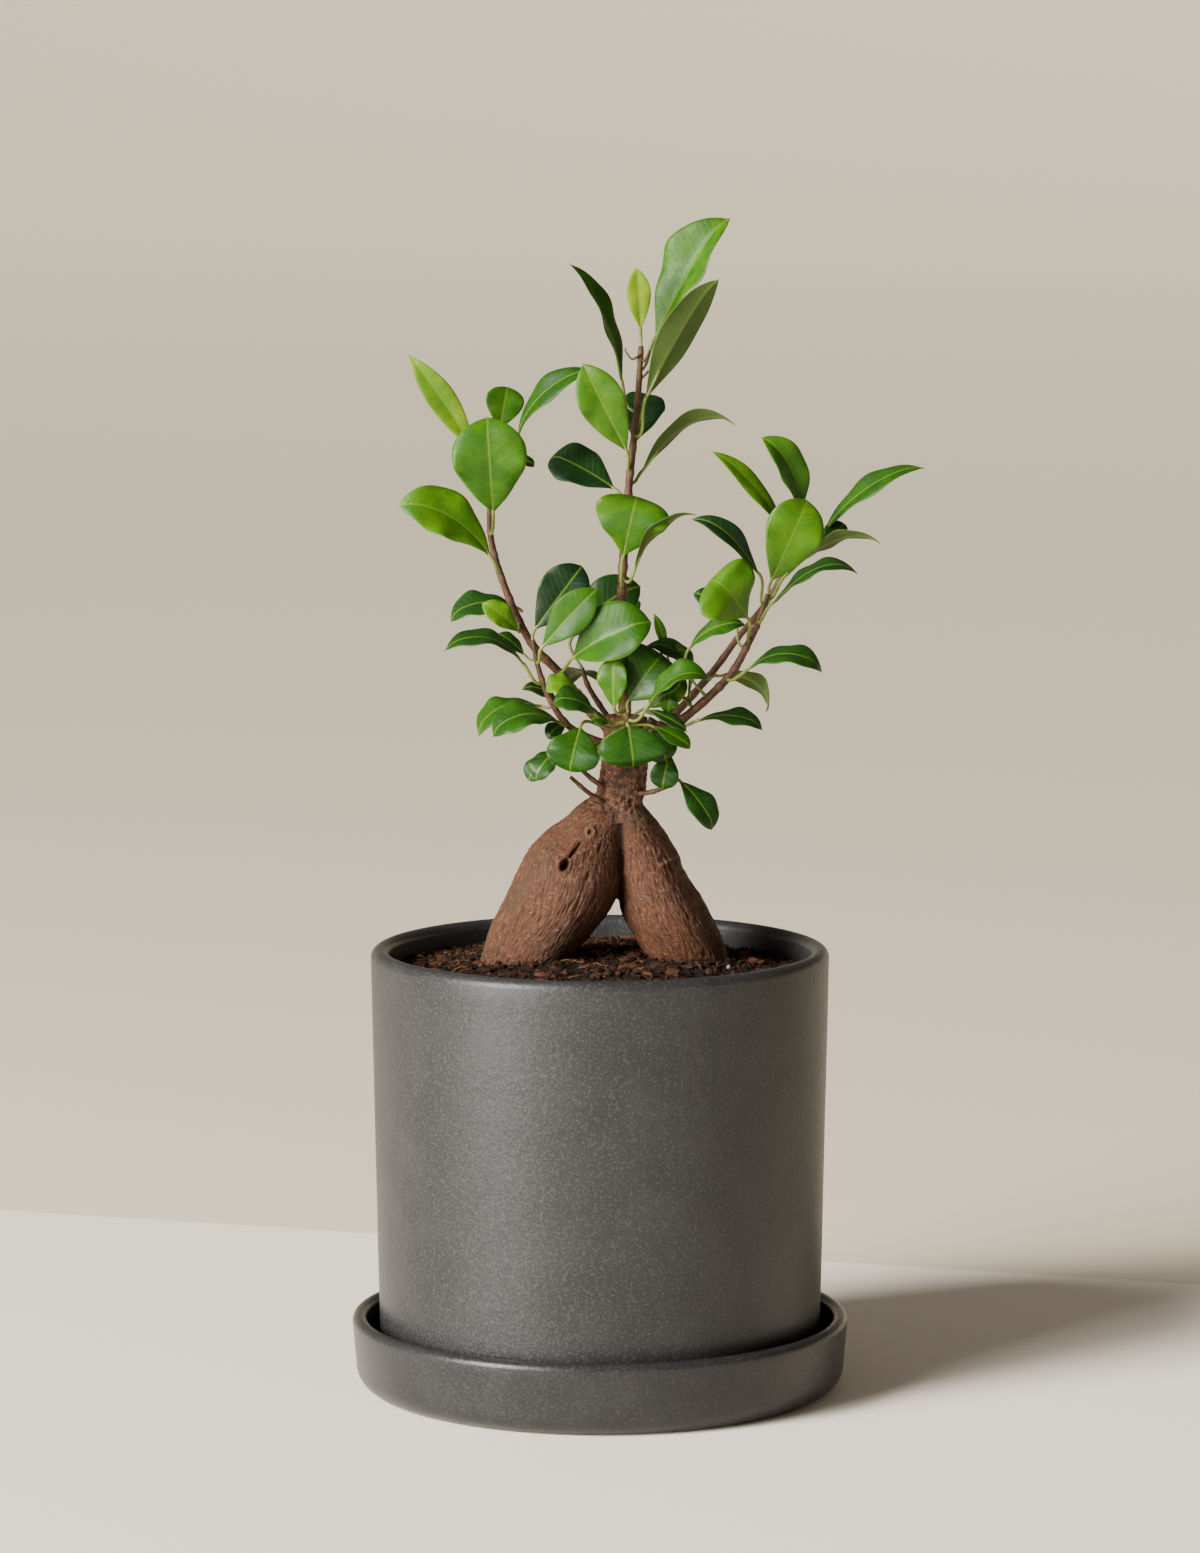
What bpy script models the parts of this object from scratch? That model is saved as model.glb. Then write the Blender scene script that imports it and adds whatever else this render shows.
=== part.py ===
"""Ficus bonsai (ginseng form) planted in a round glazed pot that stands on its saucer.

Lengths are in millimetres here and are turned into metres where the meshes are made.
The origin is the centre of the saucer's flat underside and +Z is up. The plant's widest
spread is along X, and its front is on the -Y side.
"""

import math
from collections import namedtuple

import bmesh
import bpy
from mathutils import Vector
from mathutils.geometry import interpolate_bezier

MM = 0.001
GAP = 0.35               # air left between pieces that rest on, or grow out of, each other

# Saucer
SAUCER_HEIGHT = 26.5
SAUCER_FLOOR = 6.0       # height of the inner floor, which the pot stands on
SAUCER_TOP_RADIUS = 89.8
SAUCER_LOW_RADIUS = 88.4
SAUCER_WALL = 5.4
SAUCER_FILLET = 8.0      # outer corner between the underside and the wall
SAUCER_HEEL = 3.0        # inner corner between the floor and the wall

# Pot
POT_HEIGHT = 153.7
POT_TOP_RADIUS = 82.5
POT_LOW_RADIUS = 79.6
POT_WALL = 6.6
POT_FLOOR = 8.0
POT_CORNER = 3.0         # outer corner between the base and the wall
POT_HEEL = 4.0           # inner corner between the floor and the wall
DRAIN_RADIUS = 8.0

# Soil
SOIL_DROP = 9.0          # below the rim, where the soil meets the pot
SOIL_MOUND = 5.0         # extra height round the roots
MOUND_INNER = 38.0
SOIL_UNEVEN = 0.6        # gentle rise and fall of the top
SOIL_TAPER = 0.5         # clearance to the pot, as its wall leans out
SOIL_CHAMFER = 5.0       # bevel round the bottom, clear of the pot's inner corner
MOUND_OUTER = 72.0

# Leaves
BLADE_THICKNESS = 0.9
PETIOLE_RADIUS = 0.8

POT_BASE = SAUCER_FLOOR + GAP
POT_RIM = POT_BASE + POT_HEIGHT
SOIL_EDGE = POT_RIM - SOIL_DROP
ROUND_SEGMENTS = 64

Station = namedtuple("Station", "x y z rx ry")
Stem = namedtuple("Stem", "points thick thin")
Leaf = namedtuple("Leaf", "height base tip width face arch fold curl bend", defaults=(0, 0))

# The trunk: an upright cut stump over two swollen roots that stand astride, as level rings.
NECK = [
    Station(4.5, -1, 206, 8.5, 8.5),
    Station(6.0, 0, 212, 9.2, 8.8),
    Station(7.6, 0, 217, 8.9, 8.6),
    Station(8.6, 0, 224, 8.3, 8.2),
    Station(9.3, 0, 234, 8.0, 8.0),
    Station(9.6, 0, 242.5, 8.0, 8.0),
    Station(9.6, 0, 244, 6.8, 6.8),
]
LEFT_ROOT = [
    Station(-38, -4, 120, 4, 4),
    Station(-36, -4, 132, 8, 8),
    Station(-32, -4, 146, 12.5, 12),
    Station(-27.3, -4, 156, 15.5, 14),
    Station(-24, -3, 161, 17.2, 15),
    Station(-20, -3, 167.5, 18.9, 16),
    Station(-15.3, -3, 175, 19.6, 16.5),
    Station(-12, -3, 183.5, 19.7, 16.5),
    Station(-10.2, -2, 191, 18.2, 16),
    Station(-8.4, -2, 196.5, 16.4, 15),
    Station(-5.5, -1, 202, 14.2, 13),
    Station(-2.2, -1, 206, 12, 11),
    Station(1.5, 0, 211, 9.6, 9),
    Station(5, 0, 216, 6.5, 6.5),
]
RIGHT_ROOT = [
    Station(43, 4, 120, 4, 4),
    Station(41, 4, 132, 7.5, 8),
    Station(36.5, 3, 146, 11.5, 12),
    Station(31.8, 3, 156, 14.6, 14.5),
    Station(28, 2, 164.3, 15.9, 15.5),
    Station(24.3, 2, 171, 16, 16),
    Station(21.3, 2, 178.5, 14.3, 15),
    Station(19, 2, 185, 12.6, 14),
    Station(16.4, 1, 193.5, 11, 12.5),
    Station(13.6, 1, 200.5, 9.8, 11),
    Station(11.8, 0, 206, 8, 9.5),
    Station(10, 0, 212, 5.2, 6.5),
]

# Stems: points along the centre line, then the diameters at the foot and at the end.
STEMS = {
    "leader_stem": Stem([(9, 2, 240), (8, 1, 262), (8, 0, 293), (10.4, -1, 327),
                         (13.3, -1, 355), (14.6, 0, 376)], 4.2, 1.9),
    "left_main_stem": Stem([(6, 0, 236), (-6, 0, 248), (-14.4, 0, 259), (-24.5, -1, 270),
                            (-32.4, -1, 286), (-38.5, 0, 305), (-39, 2, 320),
                            (-35, 4, 336)], 3.8, 1.7),
    "left_side_stem": Stem([(7, -3, 232), (-10, -8, 240), (-18, -9, 251), (-22, -9, 262),
                            (-24, -9, 272)], 2.8, 1.6),
    "left_thin_stem": Stem([(6, 4, 238), (-3.4, 8, 252), (-6.5, 8, 260)], 2.2, 1.6),
    "right_front_stem": Stem([(12, -2, 232), (27.4, -6, 241.5), (45.4, -8, 258), (53.3, -8, 271.5),
                              (57.5, -8, 281), (59.8, -7, 288)], 3.6, 1.8),
    "right_back_stem": Stem([(12, 3, 234), (25.6, 7, 242.5), (39.6, 9, 257.5), (49, 10, 270),
                             (60, 11, 284), (70, 10, 302)], 3.2, 1.7),
    "rear_stem": Stem([(9, 4, 236), (10, 16, 247), (11, 26, 259), (9, 31, 270)], 3.2, 1.7),
    "front_stem": Stem([(9.5, -3, 234), (9.5, -13, 242), (10, -16, 247)], 2.8, 1.8),
    "low_left_twig": Stem([(6, -3, 215), (-3, -8, 222), (-9, -11, 228)], 2.0, 1.5),
    "low_right_twig": Stem([(10, -4, 216), (18, -7, 217), (25, -12, 220)], 2.0, 1.5),
}

# Leaves by stem: the height where the stalk leaves the stem, the blade's base and tip, its
# width, the way its upper side faces, how far it arches and the fold along the midrib in
# degrees; then, where it has them, the arch's share moved towards the tip and a sideways bend.
LEAVES = {
    "leader_stem": [
        Leaf(380, (14.4, -1, 382), (13, -4, 404), 9, (0.1, -1, 0.2), 1, 15),
        Leaf(366, (19.8, 12, 379), (44, 6, 422.5), 24, (-0.7, -0.7, 0.1), 1, 30),
        Leaf(344, (16.2, -3, 357.5), (41.4, -7, 401.5), 14.5, (-0.5, -0.8, 0.3), 2.5, 12),
        Leaf(352, (8, 2, 363), (-9.5, -3, 406.5), 12, (-0.85, -0.45, 0.25), -4, 25),
        Leaf(331, (9.5, -5, 339), (-6, -12, 370.5), 17, (-0.15, -1, 0.25), 2, 12),
        Leaf(336, (12.5, 7, 341.5), (17.5, 24, 359.5), 16, (0, -0.75, 0.65), 2, 8),
        Leaf(320, (5, 5, 325), (-18.5, 14, 337), 18, (-0.3, -0.6, 0.7), 2, 10),
        Leaf(325, (14.6, 2, 331), (49, -4, 350), 13, (-0.4, 0.5, 0.77), 8, 20, 0.3),
        Leaf(288, (8.2, -9, 301.5), (13.5, -14, 325.5), 26, (0, -1, 0.25), 4, 5, 0.5),
        Leaf(292, (12, -5, 299), (33, -10, 319), 9, (-0.65, 0.2, 0.7), 5, 15),
    ],
    "left_main_stem": [
        Leaf(328, (-44.5, 1, 337), (-68, -6, 373), 10.5, (-0.3, -0.85, 0.4), 1, 15, 0, 1.5),
        Leaf(340, (-29.5, 4, 344), (-3, -6, 369), 12, (-0.5, -0.6, 0.6), 6, 12),
        Leaf(308, (-38, -8, 317.5), (-40, -18, 352), 27, (0, -1, 0.3), 3, 8),
        Leaf(294, (-39, -14, 302.5), (-71, -22, 322), 19, (0.1, -0.85, 0.5), 2, 10, 0.3, 4.5),
        Leaf(283, (-29, 8, 281), (-55, 4, 278.5), 15, (0, -0.45, 0.85), 5, 10),
        Leaf(259, (-9.5, -12, 266), (18, -24, 281), 23, (-0.1, -0.9, 0.4), 4, 20),
    ],
    "left_side_stem": [
        Leaf(256, (-27, -12, 263.5), (-56, -18, 270.5), 13, (0, -0.35, 0.9), 7, 10),
        Leaf(274, (-23, -9, 276), (-6, -10, 299), 18, (0.2, -0.9, 0.35), 2, 10),
        Leaf(263, (-20.5, -15, 270), (-1, -21, 291.5), 14, (0.2, -0.85, 0.45), 2, 10),
        Leaf(248, (-22, -6, 248), (-45, -12, 238.5), 14, (0, -0.4, 0.9), 6, 8),
        Leaf(241, (-14.5, -14, 243), (-39.5, -23, 240), 16, (0.05, -0.5, 0.85), 6, 8),
    ],
    "left_thin_stem": [
        Leaf(262, (-10, 11, 271), (15, 13, 290), 18, (-0.2, -0.95, 0.2), 2, 6, 0, -2),
    ],
    "right_front_stem": [
        Leaf(271, (52.4, -18, 280.5), (38, -25, 296.5), 27, (0.1, -0.9, 0.4), 4, 8, 0.6),
        Leaf(290, (61, -8, 293), (74.5, -4, 322.5), 21, (0.15, -0.95, 0.3), 2, 8),
        Leaf(284, (56.5, -14, 296), (32, -20, 317), 10, (-0.4, -0.5, 0.8), 5, 20, 0.5),
        Leaf(278, (61, -15, 285.5), (92, -18, 298), 12, (-0.3, -0.3, 0.9), 6, 12, 0.4),
        Leaf(286, (66, -1, 294), (100.5, -6, 308), 13, (-0.15, 0.35, 0.9), 6, 10, 0.2),
        Leaf(257, (53, -15, 262.5), (80, -21, 263), 14, (0, -0.45, 0.9), 6, 8),
        Leaf(246, (32, -4, 252), (16, -6, 271), 12, (0.5, -0.5, 0.7), 8, 12),
    ],
    "right_back_stem": [
        Leaf(295, (66, 5, 309), (40, -1, 339.5), 8.5, (0.3, -0.75, 0.6), 4, 12),
        Leaf(304, (71.5, 9, 315), (58.4, 3, 344), 12.5, (0, -1, 0.25), 2, 15, 0, 3.5),
        Leaf(300, (80, 8, 309), (115.5, 4, 334), 12, (-0.4, -0.5, 0.75), 5, 12),
        Leaf(256, (42, 2, 258), (61, -8, 246), 11, (0.3, 0.3, 0.9), 7, 10),
    ],
    "rear_stem": [
        Leaf(262, (0, 36, 265), (-15, 50, 281), 14, (0.3, 0.3, 0.9), 3, 10),
        Leaf(272, (8, 37, 270), (6, 53, 283), 15, (0, 0.5, 0.8), 3, 10),
        Leaf(253, (18, 29, 251), (31, 46, 255), 15, (0.2, 0.4, 0.9), 4, 10),
        Leaf(250, (1, 28, 252), (-14, 45, 250), 15, (-0.2, 0.4, 0.9), 5, 10),
        Leaf(243, (13, 24, 238), (18, 42, 229), 16, (0.1, 0.8, 0.5), 3, 8),
    ],
    "front_stem": [
        Leaf(249, (10, -17, 251), (23, -15, 268.5), 25, (-0.1, -0.95, 0.35), 2, 10),
        Leaf(244, (17, -24, 250), (39.5, -29, 261), 14, (-0.3, -0.5, 0.85), 6, 25, 0.3),
        Leaf(245.5, (5, -18, 248.5), (5, -20, 267), 12, (-0.4, -0.9, 0.2), 1, 15),
        Leaf(240.5, (-7, -25, 242.5), (-11, -32, 227), 19.5, (0, -0.9, 0.45), 2, 8),
        Leaf(239, (10, -25, 243), (12, -33, 229), 25, (0, -0.85, 0.5), 2, 8),
        Leaf(243, (-2, -20, 247), (-17, -25, 252.5), 14, (0.1, -0.6, 0.8), 3, 8),
    ],
    "low_left_twig": [
        Leaf(230, (-15, -14, 233), (-23.5, -19, 223), 10.5, (-0.3, -0.8, 0.5), 2, 10),
    ],
    "low_right_twig": [
        Leaf(221, (28.5, -15, 222), (41, -21, 205.5), 12.5, (0.5, -0.8, 0.4), 2, 8),
    ],
}


def clear_scene():
    for old in list(bpy.data.objects):
        bpy.data.objects.remove(old, do_unlink=True)


def material(name, colour, roughness):
    made = bpy.data.materials.new(name)
    made.use_nodes = True
    shader = made.node_tree.nodes["Principled BSDF"]
    shader.inputs["Base Color"].default_value = (*colour, 1)
    shader.inputs["Roughness"].default_value = roughness
    shader.inputs["Metallic"].default_value = 0
    made.diffuse_color = (*colour, 1)
    return made


def add_object(name, bm, finish=None, sharp_angle=40):
    """Turn a closed bmesh in millimetres into a smooth-shaded object in metres."""
    bmesh.ops.scale(bm, vec=(MM, MM, MM), verts=bm.verts)
    bmesh.ops.recalc_face_normals(bm, faces=bm.faces)
    mesh = bpy.data.meshes.new(name)
    bm.to_mesh(mesh)
    bm.free()
    mesh.shade_smooth()
    mesh.set_sharp_from_angle(angle=math.radians(sharp_angle))
    if finish:
        mesh.materials.append(finish)
    made = bpy.data.objects.new(name, mesh)
    bpy.context.collection.objects.link(made)
    return made


def skin_rings(rings, closed=False):
    """Join equal rings of points into one closed surface; an open row gets its two ends filled."""
    bm = bmesh.new()
    rows = [[bm.verts.new(point) for point in ring] for ring in rings]
    count = len(rows[0])
    pairs = list(zip(rows, rows[1:]))
    if closed:
        pairs.append((rows[-1], rows[0]))
    for low, high in pairs:
        for i in range(count):
            j = (i + 1) % count
            bm.faces.new((low[i], low[j], high[j], high[i]))
    if not closed:
        bm.faces.new(reversed(rows[0]))
        bm.faces.new(rows[-1])
    return bm


def arc(centre_r, centre_z, radius, start, end, steps):
    """Profile points (r, z) on an arc, with its angles in degrees."""
    angles = [math.radians(start + (end - start) * i / steps) for i in range(steps + 1)]
    return [(centre_r + radius * math.cos(a), centre_z + radius * math.sin(a)) for a in angles]


def turned(profile, closed):
    """Spin a profile of (r, z) points round the Z axis."""
    rings = []
    for radius, height in profile:
        angles = [2 * math.pi * i / ROUND_SEGMENTS for i in range(ROUND_SEGMENTS)]
        rings.append([(radius * math.cos(a), radius * math.sin(a), height) for a in angles])
    return skin_rings(rings, closed)


def make_saucer(glaze):
    lip = SAUCER_WALL / 2
    foot = SAUCER_LOW_RADIUS - SAUCER_FILLET
    inner_low = SAUCER_LOW_RADIUS - SAUCER_WALL
    profile = [(foot, 0)]
    profile += arc(foot, SAUCER_FILLET, SAUCER_FILLET, -65, 0, 4)
    profile += arc(SAUCER_TOP_RADIUS - lip, SAUCER_HEIGHT - lip, lip, 0, 180, 6)
    profile += arc(inner_low - SAUCER_HEEL, SAUCER_FLOOR + SAUCER_HEEL, SAUCER_HEEL, 0, -90, 2)
    return add_object("saucer", turned(profile, closed=False), glaze)


def make_pot(glaze):
    lip = POT_WALL / 2
    corner = POT_LOW_RADIUS - POT_CORNER
    inner_low = POT_LOW_RADIUS - POT_WALL
    floor_top = POT_BASE + POT_FLOOR
    profile = [(DRAIN_RADIUS, POT_BASE)]
    profile += arc(corner, POT_BASE + POT_CORNER, POT_CORNER, -90, 0, 3)
    profile += arc(POT_TOP_RADIUS - lip, POT_RIM - lip, lip, 0, 180, 6)
    profile += arc(inner_low - POT_HEEL, floor_top + POT_HEEL, POT_HEEL, 0, -90, 2)
    profile += [(DRAIN_RADIUS, floor_top)]
    return add_object("pot", turned(profile, closed=True), glaze)


def soil_height(x, y):
    """Height of the soil's top: level at the pot's wall, mounded round the roots, a little uneven."""
    reach = (math.hypot(x, y) - MOUND_INNER) / (MOUND_OUTER - MOUND_INNER)
    reach = min(1, max(0, reach))
    rise = SOIL_MOUND * (1 - reach * reach * (3 - 2 * reach))
    uneven = SOIL_UNEVEN * math.sin(0.11 * x + 0.4) * math.cos(0.13 * y - 0.7)
    return SOIL_EDGE + rise + uneven


def make_soil(trunk, earth):
    """Soil that fills the pot, with a socket round each root."""
    top_outer = POT_TOP_RADIUS - POT_WALL - SOIL_TAPER - GAP
    low_outer = POT_LOW_RADIUS - POT_WALL - GAP
    bottom = POT_BASE + POT_FLOOR + GAP
    profile = [(low_outer - SOIL_CHAMFER, bottom), (low_outer, bottom + SOIL_CHAMFER)]
    profile += [(top_outer, SOIL_EDGE)]
    profile += [(radius, SOIL_EDGE) for radius in (67, 58, 48, 36, 22, 8)]
    bm = turned(profile, closed=False)
    for vert in bm.verts:
        if vert.co.z > SOIL_EDGE - 1:
            vert.co.z = soil_height(vert.co.x, vert.co.y)
    soil = add_object("soil", bm, earth)
    socket = swollen_copy(trunk, "soil_socket_cutter", GAP * MM)
    combine(soil, socket, "DIFFERENCE")
    bpy.data.objects.remove(socket, do_unlink=True)
    return soil


def swollen_copy(source, name, offset):
    """A copy of a solid, grown outwards everywhere by the offset."""
    mesh = source.data.copy()
    normals = [vert.normal.copy() for vert in mesh.vertices]
    for vert, normal in zip(mesh.vertices, normals):
        vert.co += normal * offset
    made = bpy.data.objects.new(name, mesh)
    bpy.context.collection.objects.link(made)
    return made


def combine(target, other, operation):
    """Apply an exact Boolean to the target's own mesh."""
    cut = target.modifiers.new(operation.lower(), "BOOLEAN")
    cut.operation = operation
    cut.solver = "EXACT"
    cut.object = other
    scene_state = bpy.context.evaluated_depsgraph_get()
    result = bpy.data.meshes.new_from_object(target.evaluated_get(scene_state))
    target.modifiers.clear()
    target.data = result


def level_rings(stations, segments=22):
    """Level rings through the stations, gently fluted as swollen roots are."""
    rings = []
    for station in stations:
        ring = []
        for i in range(segments):
            angle = 2 * math.pi * i / segments
            flute = 1 + 0.03 * math.sin(3 * angle + 0.07 * station.z)
            x = station.x + station.rx * flute * math.cos(angle)
            y = station.y + station.ry * flute * math.sin(angle)
            ring.append((x, y, station.z))
        rings.append(ring)
    return rings


def make_trunk(bark):
    trunk = add_object("trunk", skin_rings(level_rings(NECK)), bark, sharp_angle=60)
    for name, stations in (("left_root", LEFT_ROOT), ("right_root", RIGHT_ROOT)):
        root = add_object(name, skin_rings(level_rings(stations)), bark)
        combine(trunk, root, "UNION")
        bpy.data.objects.remove(root, do_unlink=True)
    return trunk


def smooth_line(points, steps=4):
    """A Catmull-Rom line through the points, as a list of vectors."""
    knots = [Vector(point) for point in points]
    knots = [2 * knots[0] - knots[1], *knots, 2 * knots[-1] - knots[-2]]
    line = []
    for a, b, c, d in zip(knots, knots[1:], knots[2:], knots[3:]):
        for i in range(steps):
            t = i / steps
            point = 2 * b + (c - a) * t + (2 * a - 5 * b + 4 * c - d) * t ** 2
            line.append((point + (3 * b - a - 3 * c + d) * t ** 3) / 2)
    line.append(knots[-2])
    return line


def tangents(line):
    ends = [line[0], *line, line[-1]]
    return [(after - before).normalized() for before, after in zip(ends, ends[2:])]


def carried_sides(directions, side):
    """The side vector carried along the directions without spinning round them."""
    sides = []
    for direction in directions:
        side = (side - direction * side.dot(direction)).normalized()
        sides.append(side)
    return sides


def make_stem(name, stem, trunk_cutter, bark, edges=8):
    """A tapering round stem whose foot is cut to the trunk's surface."""
    line = smooth_line(stem.points, steps=3)
    directions = tangents(line)
    rings = []
    for i, (point, direction) in enumerate(zip(line, directions)):
        share = i / (len(line) - 1)
        radius = (stem.thick + (stem.thin - stem.thick) * share) / 2
        side = carried_sides([direction], Vector((0, 1, 0)))[0]
        across = direction.cross(side)
        angles = [2 * math.pi * k / edges for k in range(edges)]
        ring = [point + (side * math.cos(a) + across * math.sin(a)) * radius for a in angles]
        rings.append(ring)
    made = add_object(name, skin_rings(rings), bark)
    combine(made, trunk_cutter, "DIFFERENCE")
    return made


def stem_place(stem, height):
    """Centre point, direction and radius of a stem where it reaches a height."""
    line = smooth_line(stem.points, steps=12)
    directions = tangents(line)
    index = next((i for i, point in enumerate(line) if point.z >= height), len(line) - 1)
    share = index / (len(line) - 1)
    radius = (stem.thick + (stem.thin - stem.thick) * share) / 2
    return line[index], directions[index], radius


def stalk_start(stem, leaf):
    """Where the leaf stalk begins, just off the stem's skin, and the way it sets out."""
    point, direction, radius = stem_place(stem, leaf.height)
    if leaf.height >= stem.points[-1][2]:
        return point + direction * GAP, direction
    outward = Vector(leaf.base) - point
    outward = (outward - direction * outward.dot(direction)).normalized()
    return point + outward * (radius + GAP), outward


def half_width(share, width):
    """Half the blade's width at a share of its length: widest past the middle, blunt at the tip."""
    return max(0.45, width / 2 * math.sin(math.pi * min(1, share) ** 1.15) ** 0.8)


def blade_line(leaf):
    """The midrib as a Bezier arch, with the blade's own side vector."""
    base = Vector(leaf.base)
    tip = Vector(leaf.tip)
    along = tip - base
    face = Vector(leaf.face)
    face = (face - along * face.dot(along) / along.length_squared).normalized()
    side = along.normalized().cross(face)
    lift = leaf.arch / 0.75            # a Bezier passes three quarters of the way to its handles
    sway = side * leaf.bend / 0.75
    near = base + along / 3 + face * lift * (1 - leaf.curl) + sway
    far = base + along * 2 / 3 + face * lift * (1 + leaf.curl) + sway
    return (base, near, far, tip), side


def bezier_point(controls, share):
    a, b, c, d = controls
    rest = 1 - share
    return a * rest ** 3 + b * 3 * rest ** 2 * share + c * 3 * rest * share ** 2 + d * share ** 3


def make_leaf(name, stem, leaf, green):
    """One leaf, stalk and blade in one piece, with a thin lens-shaped section."""
    controls, side = blade_line(leaf)
    start, outward = stalk_start(stem, leaf)
    base = controls[0]
    reach = (base - start).length * 0.4
    lead_in = base - (controls[1] - base).normalized() * reach
    stalk = interpolate_bezier(start, start + outward * reach, lead_in, base, 5)[:-1]
    shares = (0, 0.1, 0.25, 0.42, 0.6, 0.76, 0.89, 1)
    line = stalk + [bezier_point(controls, share) for share in shares]
    directions = tangents(line)
    directions[0] = outward
    sides = carried_sides(directions[::-1], side)[::-1]
    fold = math.radians(leaf.fold)
    rings = []
    for i, (point, direction, across) in enumerate(zip(line, directions, sides)):
        up = across.cross(direction)
        if i < len(stalk):
            wide, thick, raised = PETIOLE_RADIUS, PETIOLE_RADIUS, 0
        else:
            wide = max(PETIOLE_RADIUS * 0.9, half_width(shares[i - len(stalk)], leaf.width))
            thick = BLADE_THICKNESS / 2
            raised = wide * math.sin(fold)
            wide *= math.cos(fold)
        rings.append([
            point - across * wide + up * raised,
            point - up * thick,
            point + across * wide + up * raised,
            point + up * thick,
        ])
    return add_object(name, skin_rings(rings), green, sharp_angle=60)


def main():
    clear_scene()
    glaze = material("charcoal glaze", (0.075, 0.07, 0.067), 0.55)
    earth = material("potting soil", (0.03, 0.018, 0.012), 0.95)
    bark = material("trunk bark", (0.2, 0.1, 0.055), 0.75)
    young_bark = material("stem bark", (0.25, 0.13, 0.05), 0.6)
    green = material("leaf green", (0.09, 0.2, 0.02), 0.35)

    make_saucer(glaze)
    make_pot(glaze)
    trunk = make_trunk(bark)
    make_soil(trunk, earth)

    trunk_cutter = swollen_copy(trunk, "trunk_clearance_cutter", GAP * MM)
    for name, stem in STEMS.items():
        make_stem(name, stem, trunk_cutter, young_bark)
    bpy.data.objects.remove(trunk_cutter, do_unlink=True)

    for stem_name, leaves in LEAVES.items():
        place = stem_name.replace("_stem", "").replace("_twig", "")
        for number, leaf in enumerate(leaves, start=1):
            make_leaf(f"{place}_leaf_{number}", STEMS[stem_name], leaf, green)


main()
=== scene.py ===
# Ficus bonsai in a dark glazed pot on its saucer: shapes and finish of every visible piece.
# The plans below are in millimetres, +Z up, with the origin under the middle of the saucer.

import math
import random
from itertools import combinations

import bpy
from mathutils import Matrix, Vector, noise
from mathutils.geometry import interpolate_bezier


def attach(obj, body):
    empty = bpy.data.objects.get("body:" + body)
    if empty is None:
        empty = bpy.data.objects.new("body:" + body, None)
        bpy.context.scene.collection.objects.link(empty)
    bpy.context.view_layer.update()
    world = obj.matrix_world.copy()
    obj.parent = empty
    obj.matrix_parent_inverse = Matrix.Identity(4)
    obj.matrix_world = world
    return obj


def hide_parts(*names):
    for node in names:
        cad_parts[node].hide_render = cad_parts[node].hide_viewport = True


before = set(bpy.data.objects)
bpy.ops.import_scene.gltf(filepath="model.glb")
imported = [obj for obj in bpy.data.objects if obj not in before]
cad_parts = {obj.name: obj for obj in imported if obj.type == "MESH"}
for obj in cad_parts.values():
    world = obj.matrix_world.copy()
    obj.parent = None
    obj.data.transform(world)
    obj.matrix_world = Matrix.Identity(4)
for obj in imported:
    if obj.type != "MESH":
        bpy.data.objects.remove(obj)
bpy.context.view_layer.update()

mm = 0.001
turn = 2 * math.pi


# camera and light
cameraPlan = {
    "place": (0, -2.05, 0.4735),    # metres
    "tiltDown": 7.0,    # degrees
    "lens": 133.4,
    "sensor": 36,
}

cameraData = bpy.data.cameras.new("camera")
cameraData.lens = cameraPlan["lens"]
cameraData.sensor_width = cameraPlan["sensor"]
cameraData.clip_start = 0.1
cameraData.clip_end = 60
camera = bpy.data.objects.new("camera", cameraData)
camera.location = cameraPlan["place"]
camera.rotation_euler = (math.radians(90 - cameraPlan["tiltDown"]), 0, 0)
bpy.context.collection.objects.link(camera)
bpy.context.scene.camera = camera

lightPlan = {
    # a low tall window gives the broad shine, the distant one gives the even light and the shadow
    "window": {"place": (-2.15, -1.75, 0.80), "size": (1.5, 1.5), "watts": 240,
               "colour": (1.0, 0.98, 0.96)},
    "daylight": {"place": (-2.2, -1.55, 2.05), "angle": 16, "strength": 4.0,
                 "colour": (1.0, 0.975, 0.94)},
    "worldColour": (1.0, 0.92, 0.83),
    "worldStrength": 0.17,
    "aim": (0, 0, 0.15),
}


def addLight(name, kind):
    plan = lightPlan[name]
    data = bpy.data.lights.new(name, kind)
    if kind == "SUN":
        data.angle = math.radians(plan["angle"])
        data.energy = plan["strength"]
    else:
        data.shape = "RECTANGLE"
        data.size, data.size_y = plan["size"]
        data.energy = plan["watts"]
    data.color = plan["colour"]
    lamp = bpy.data.objects.new(name, data)
    lamp.location = plan["place"]
    away = Vector(plan["place"]) - Vector(lightPlan["aim"])
    lamp.rotation_euler = away.to_track_quat("Z", "Y").to_euler()
    bpy.context.collection.objects.link(lamp)


addLight("window", "AREA")
addLight("daylight", "SUN")

world = bpy.data.worlds.new("studio")
world.use_nodes = True
world.node_tree.nodes["Background"].inputs["Color"].default_value = (*lightPlan["worldColour"], 1)
world.node_tree.nodes["Background"].inputs["Strength"].default_value = lightPlan["worldStrength"]
bpy.context.scene.world = world
print("camera and light are set")


# small tools for node materials
def newMaterial(name):
    made = bpy.data.materials.new(name)
    made.use_nodes = True
    return made, made.node_tree, made.node_tree.nodes["Principled BSDF"]


def fillInputs(tree, node, values):
    # a value may be a plain number or colour, or the output of another node
    for key, value in values.items():
        if isinstance(value, bpy.types.NodeSocket):
            tree.links.new(value, node.inputs[key])
        else:
            node.inputs[key].default_value = value


def addNode(tree, kind, settings=None, values=None):
    made = tree.nodes.new(kind)
    for key, value in (settings or {}).items():
        setattr(made, key, value)
    fillInputs(tree, made, values or {})
    return made


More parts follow.
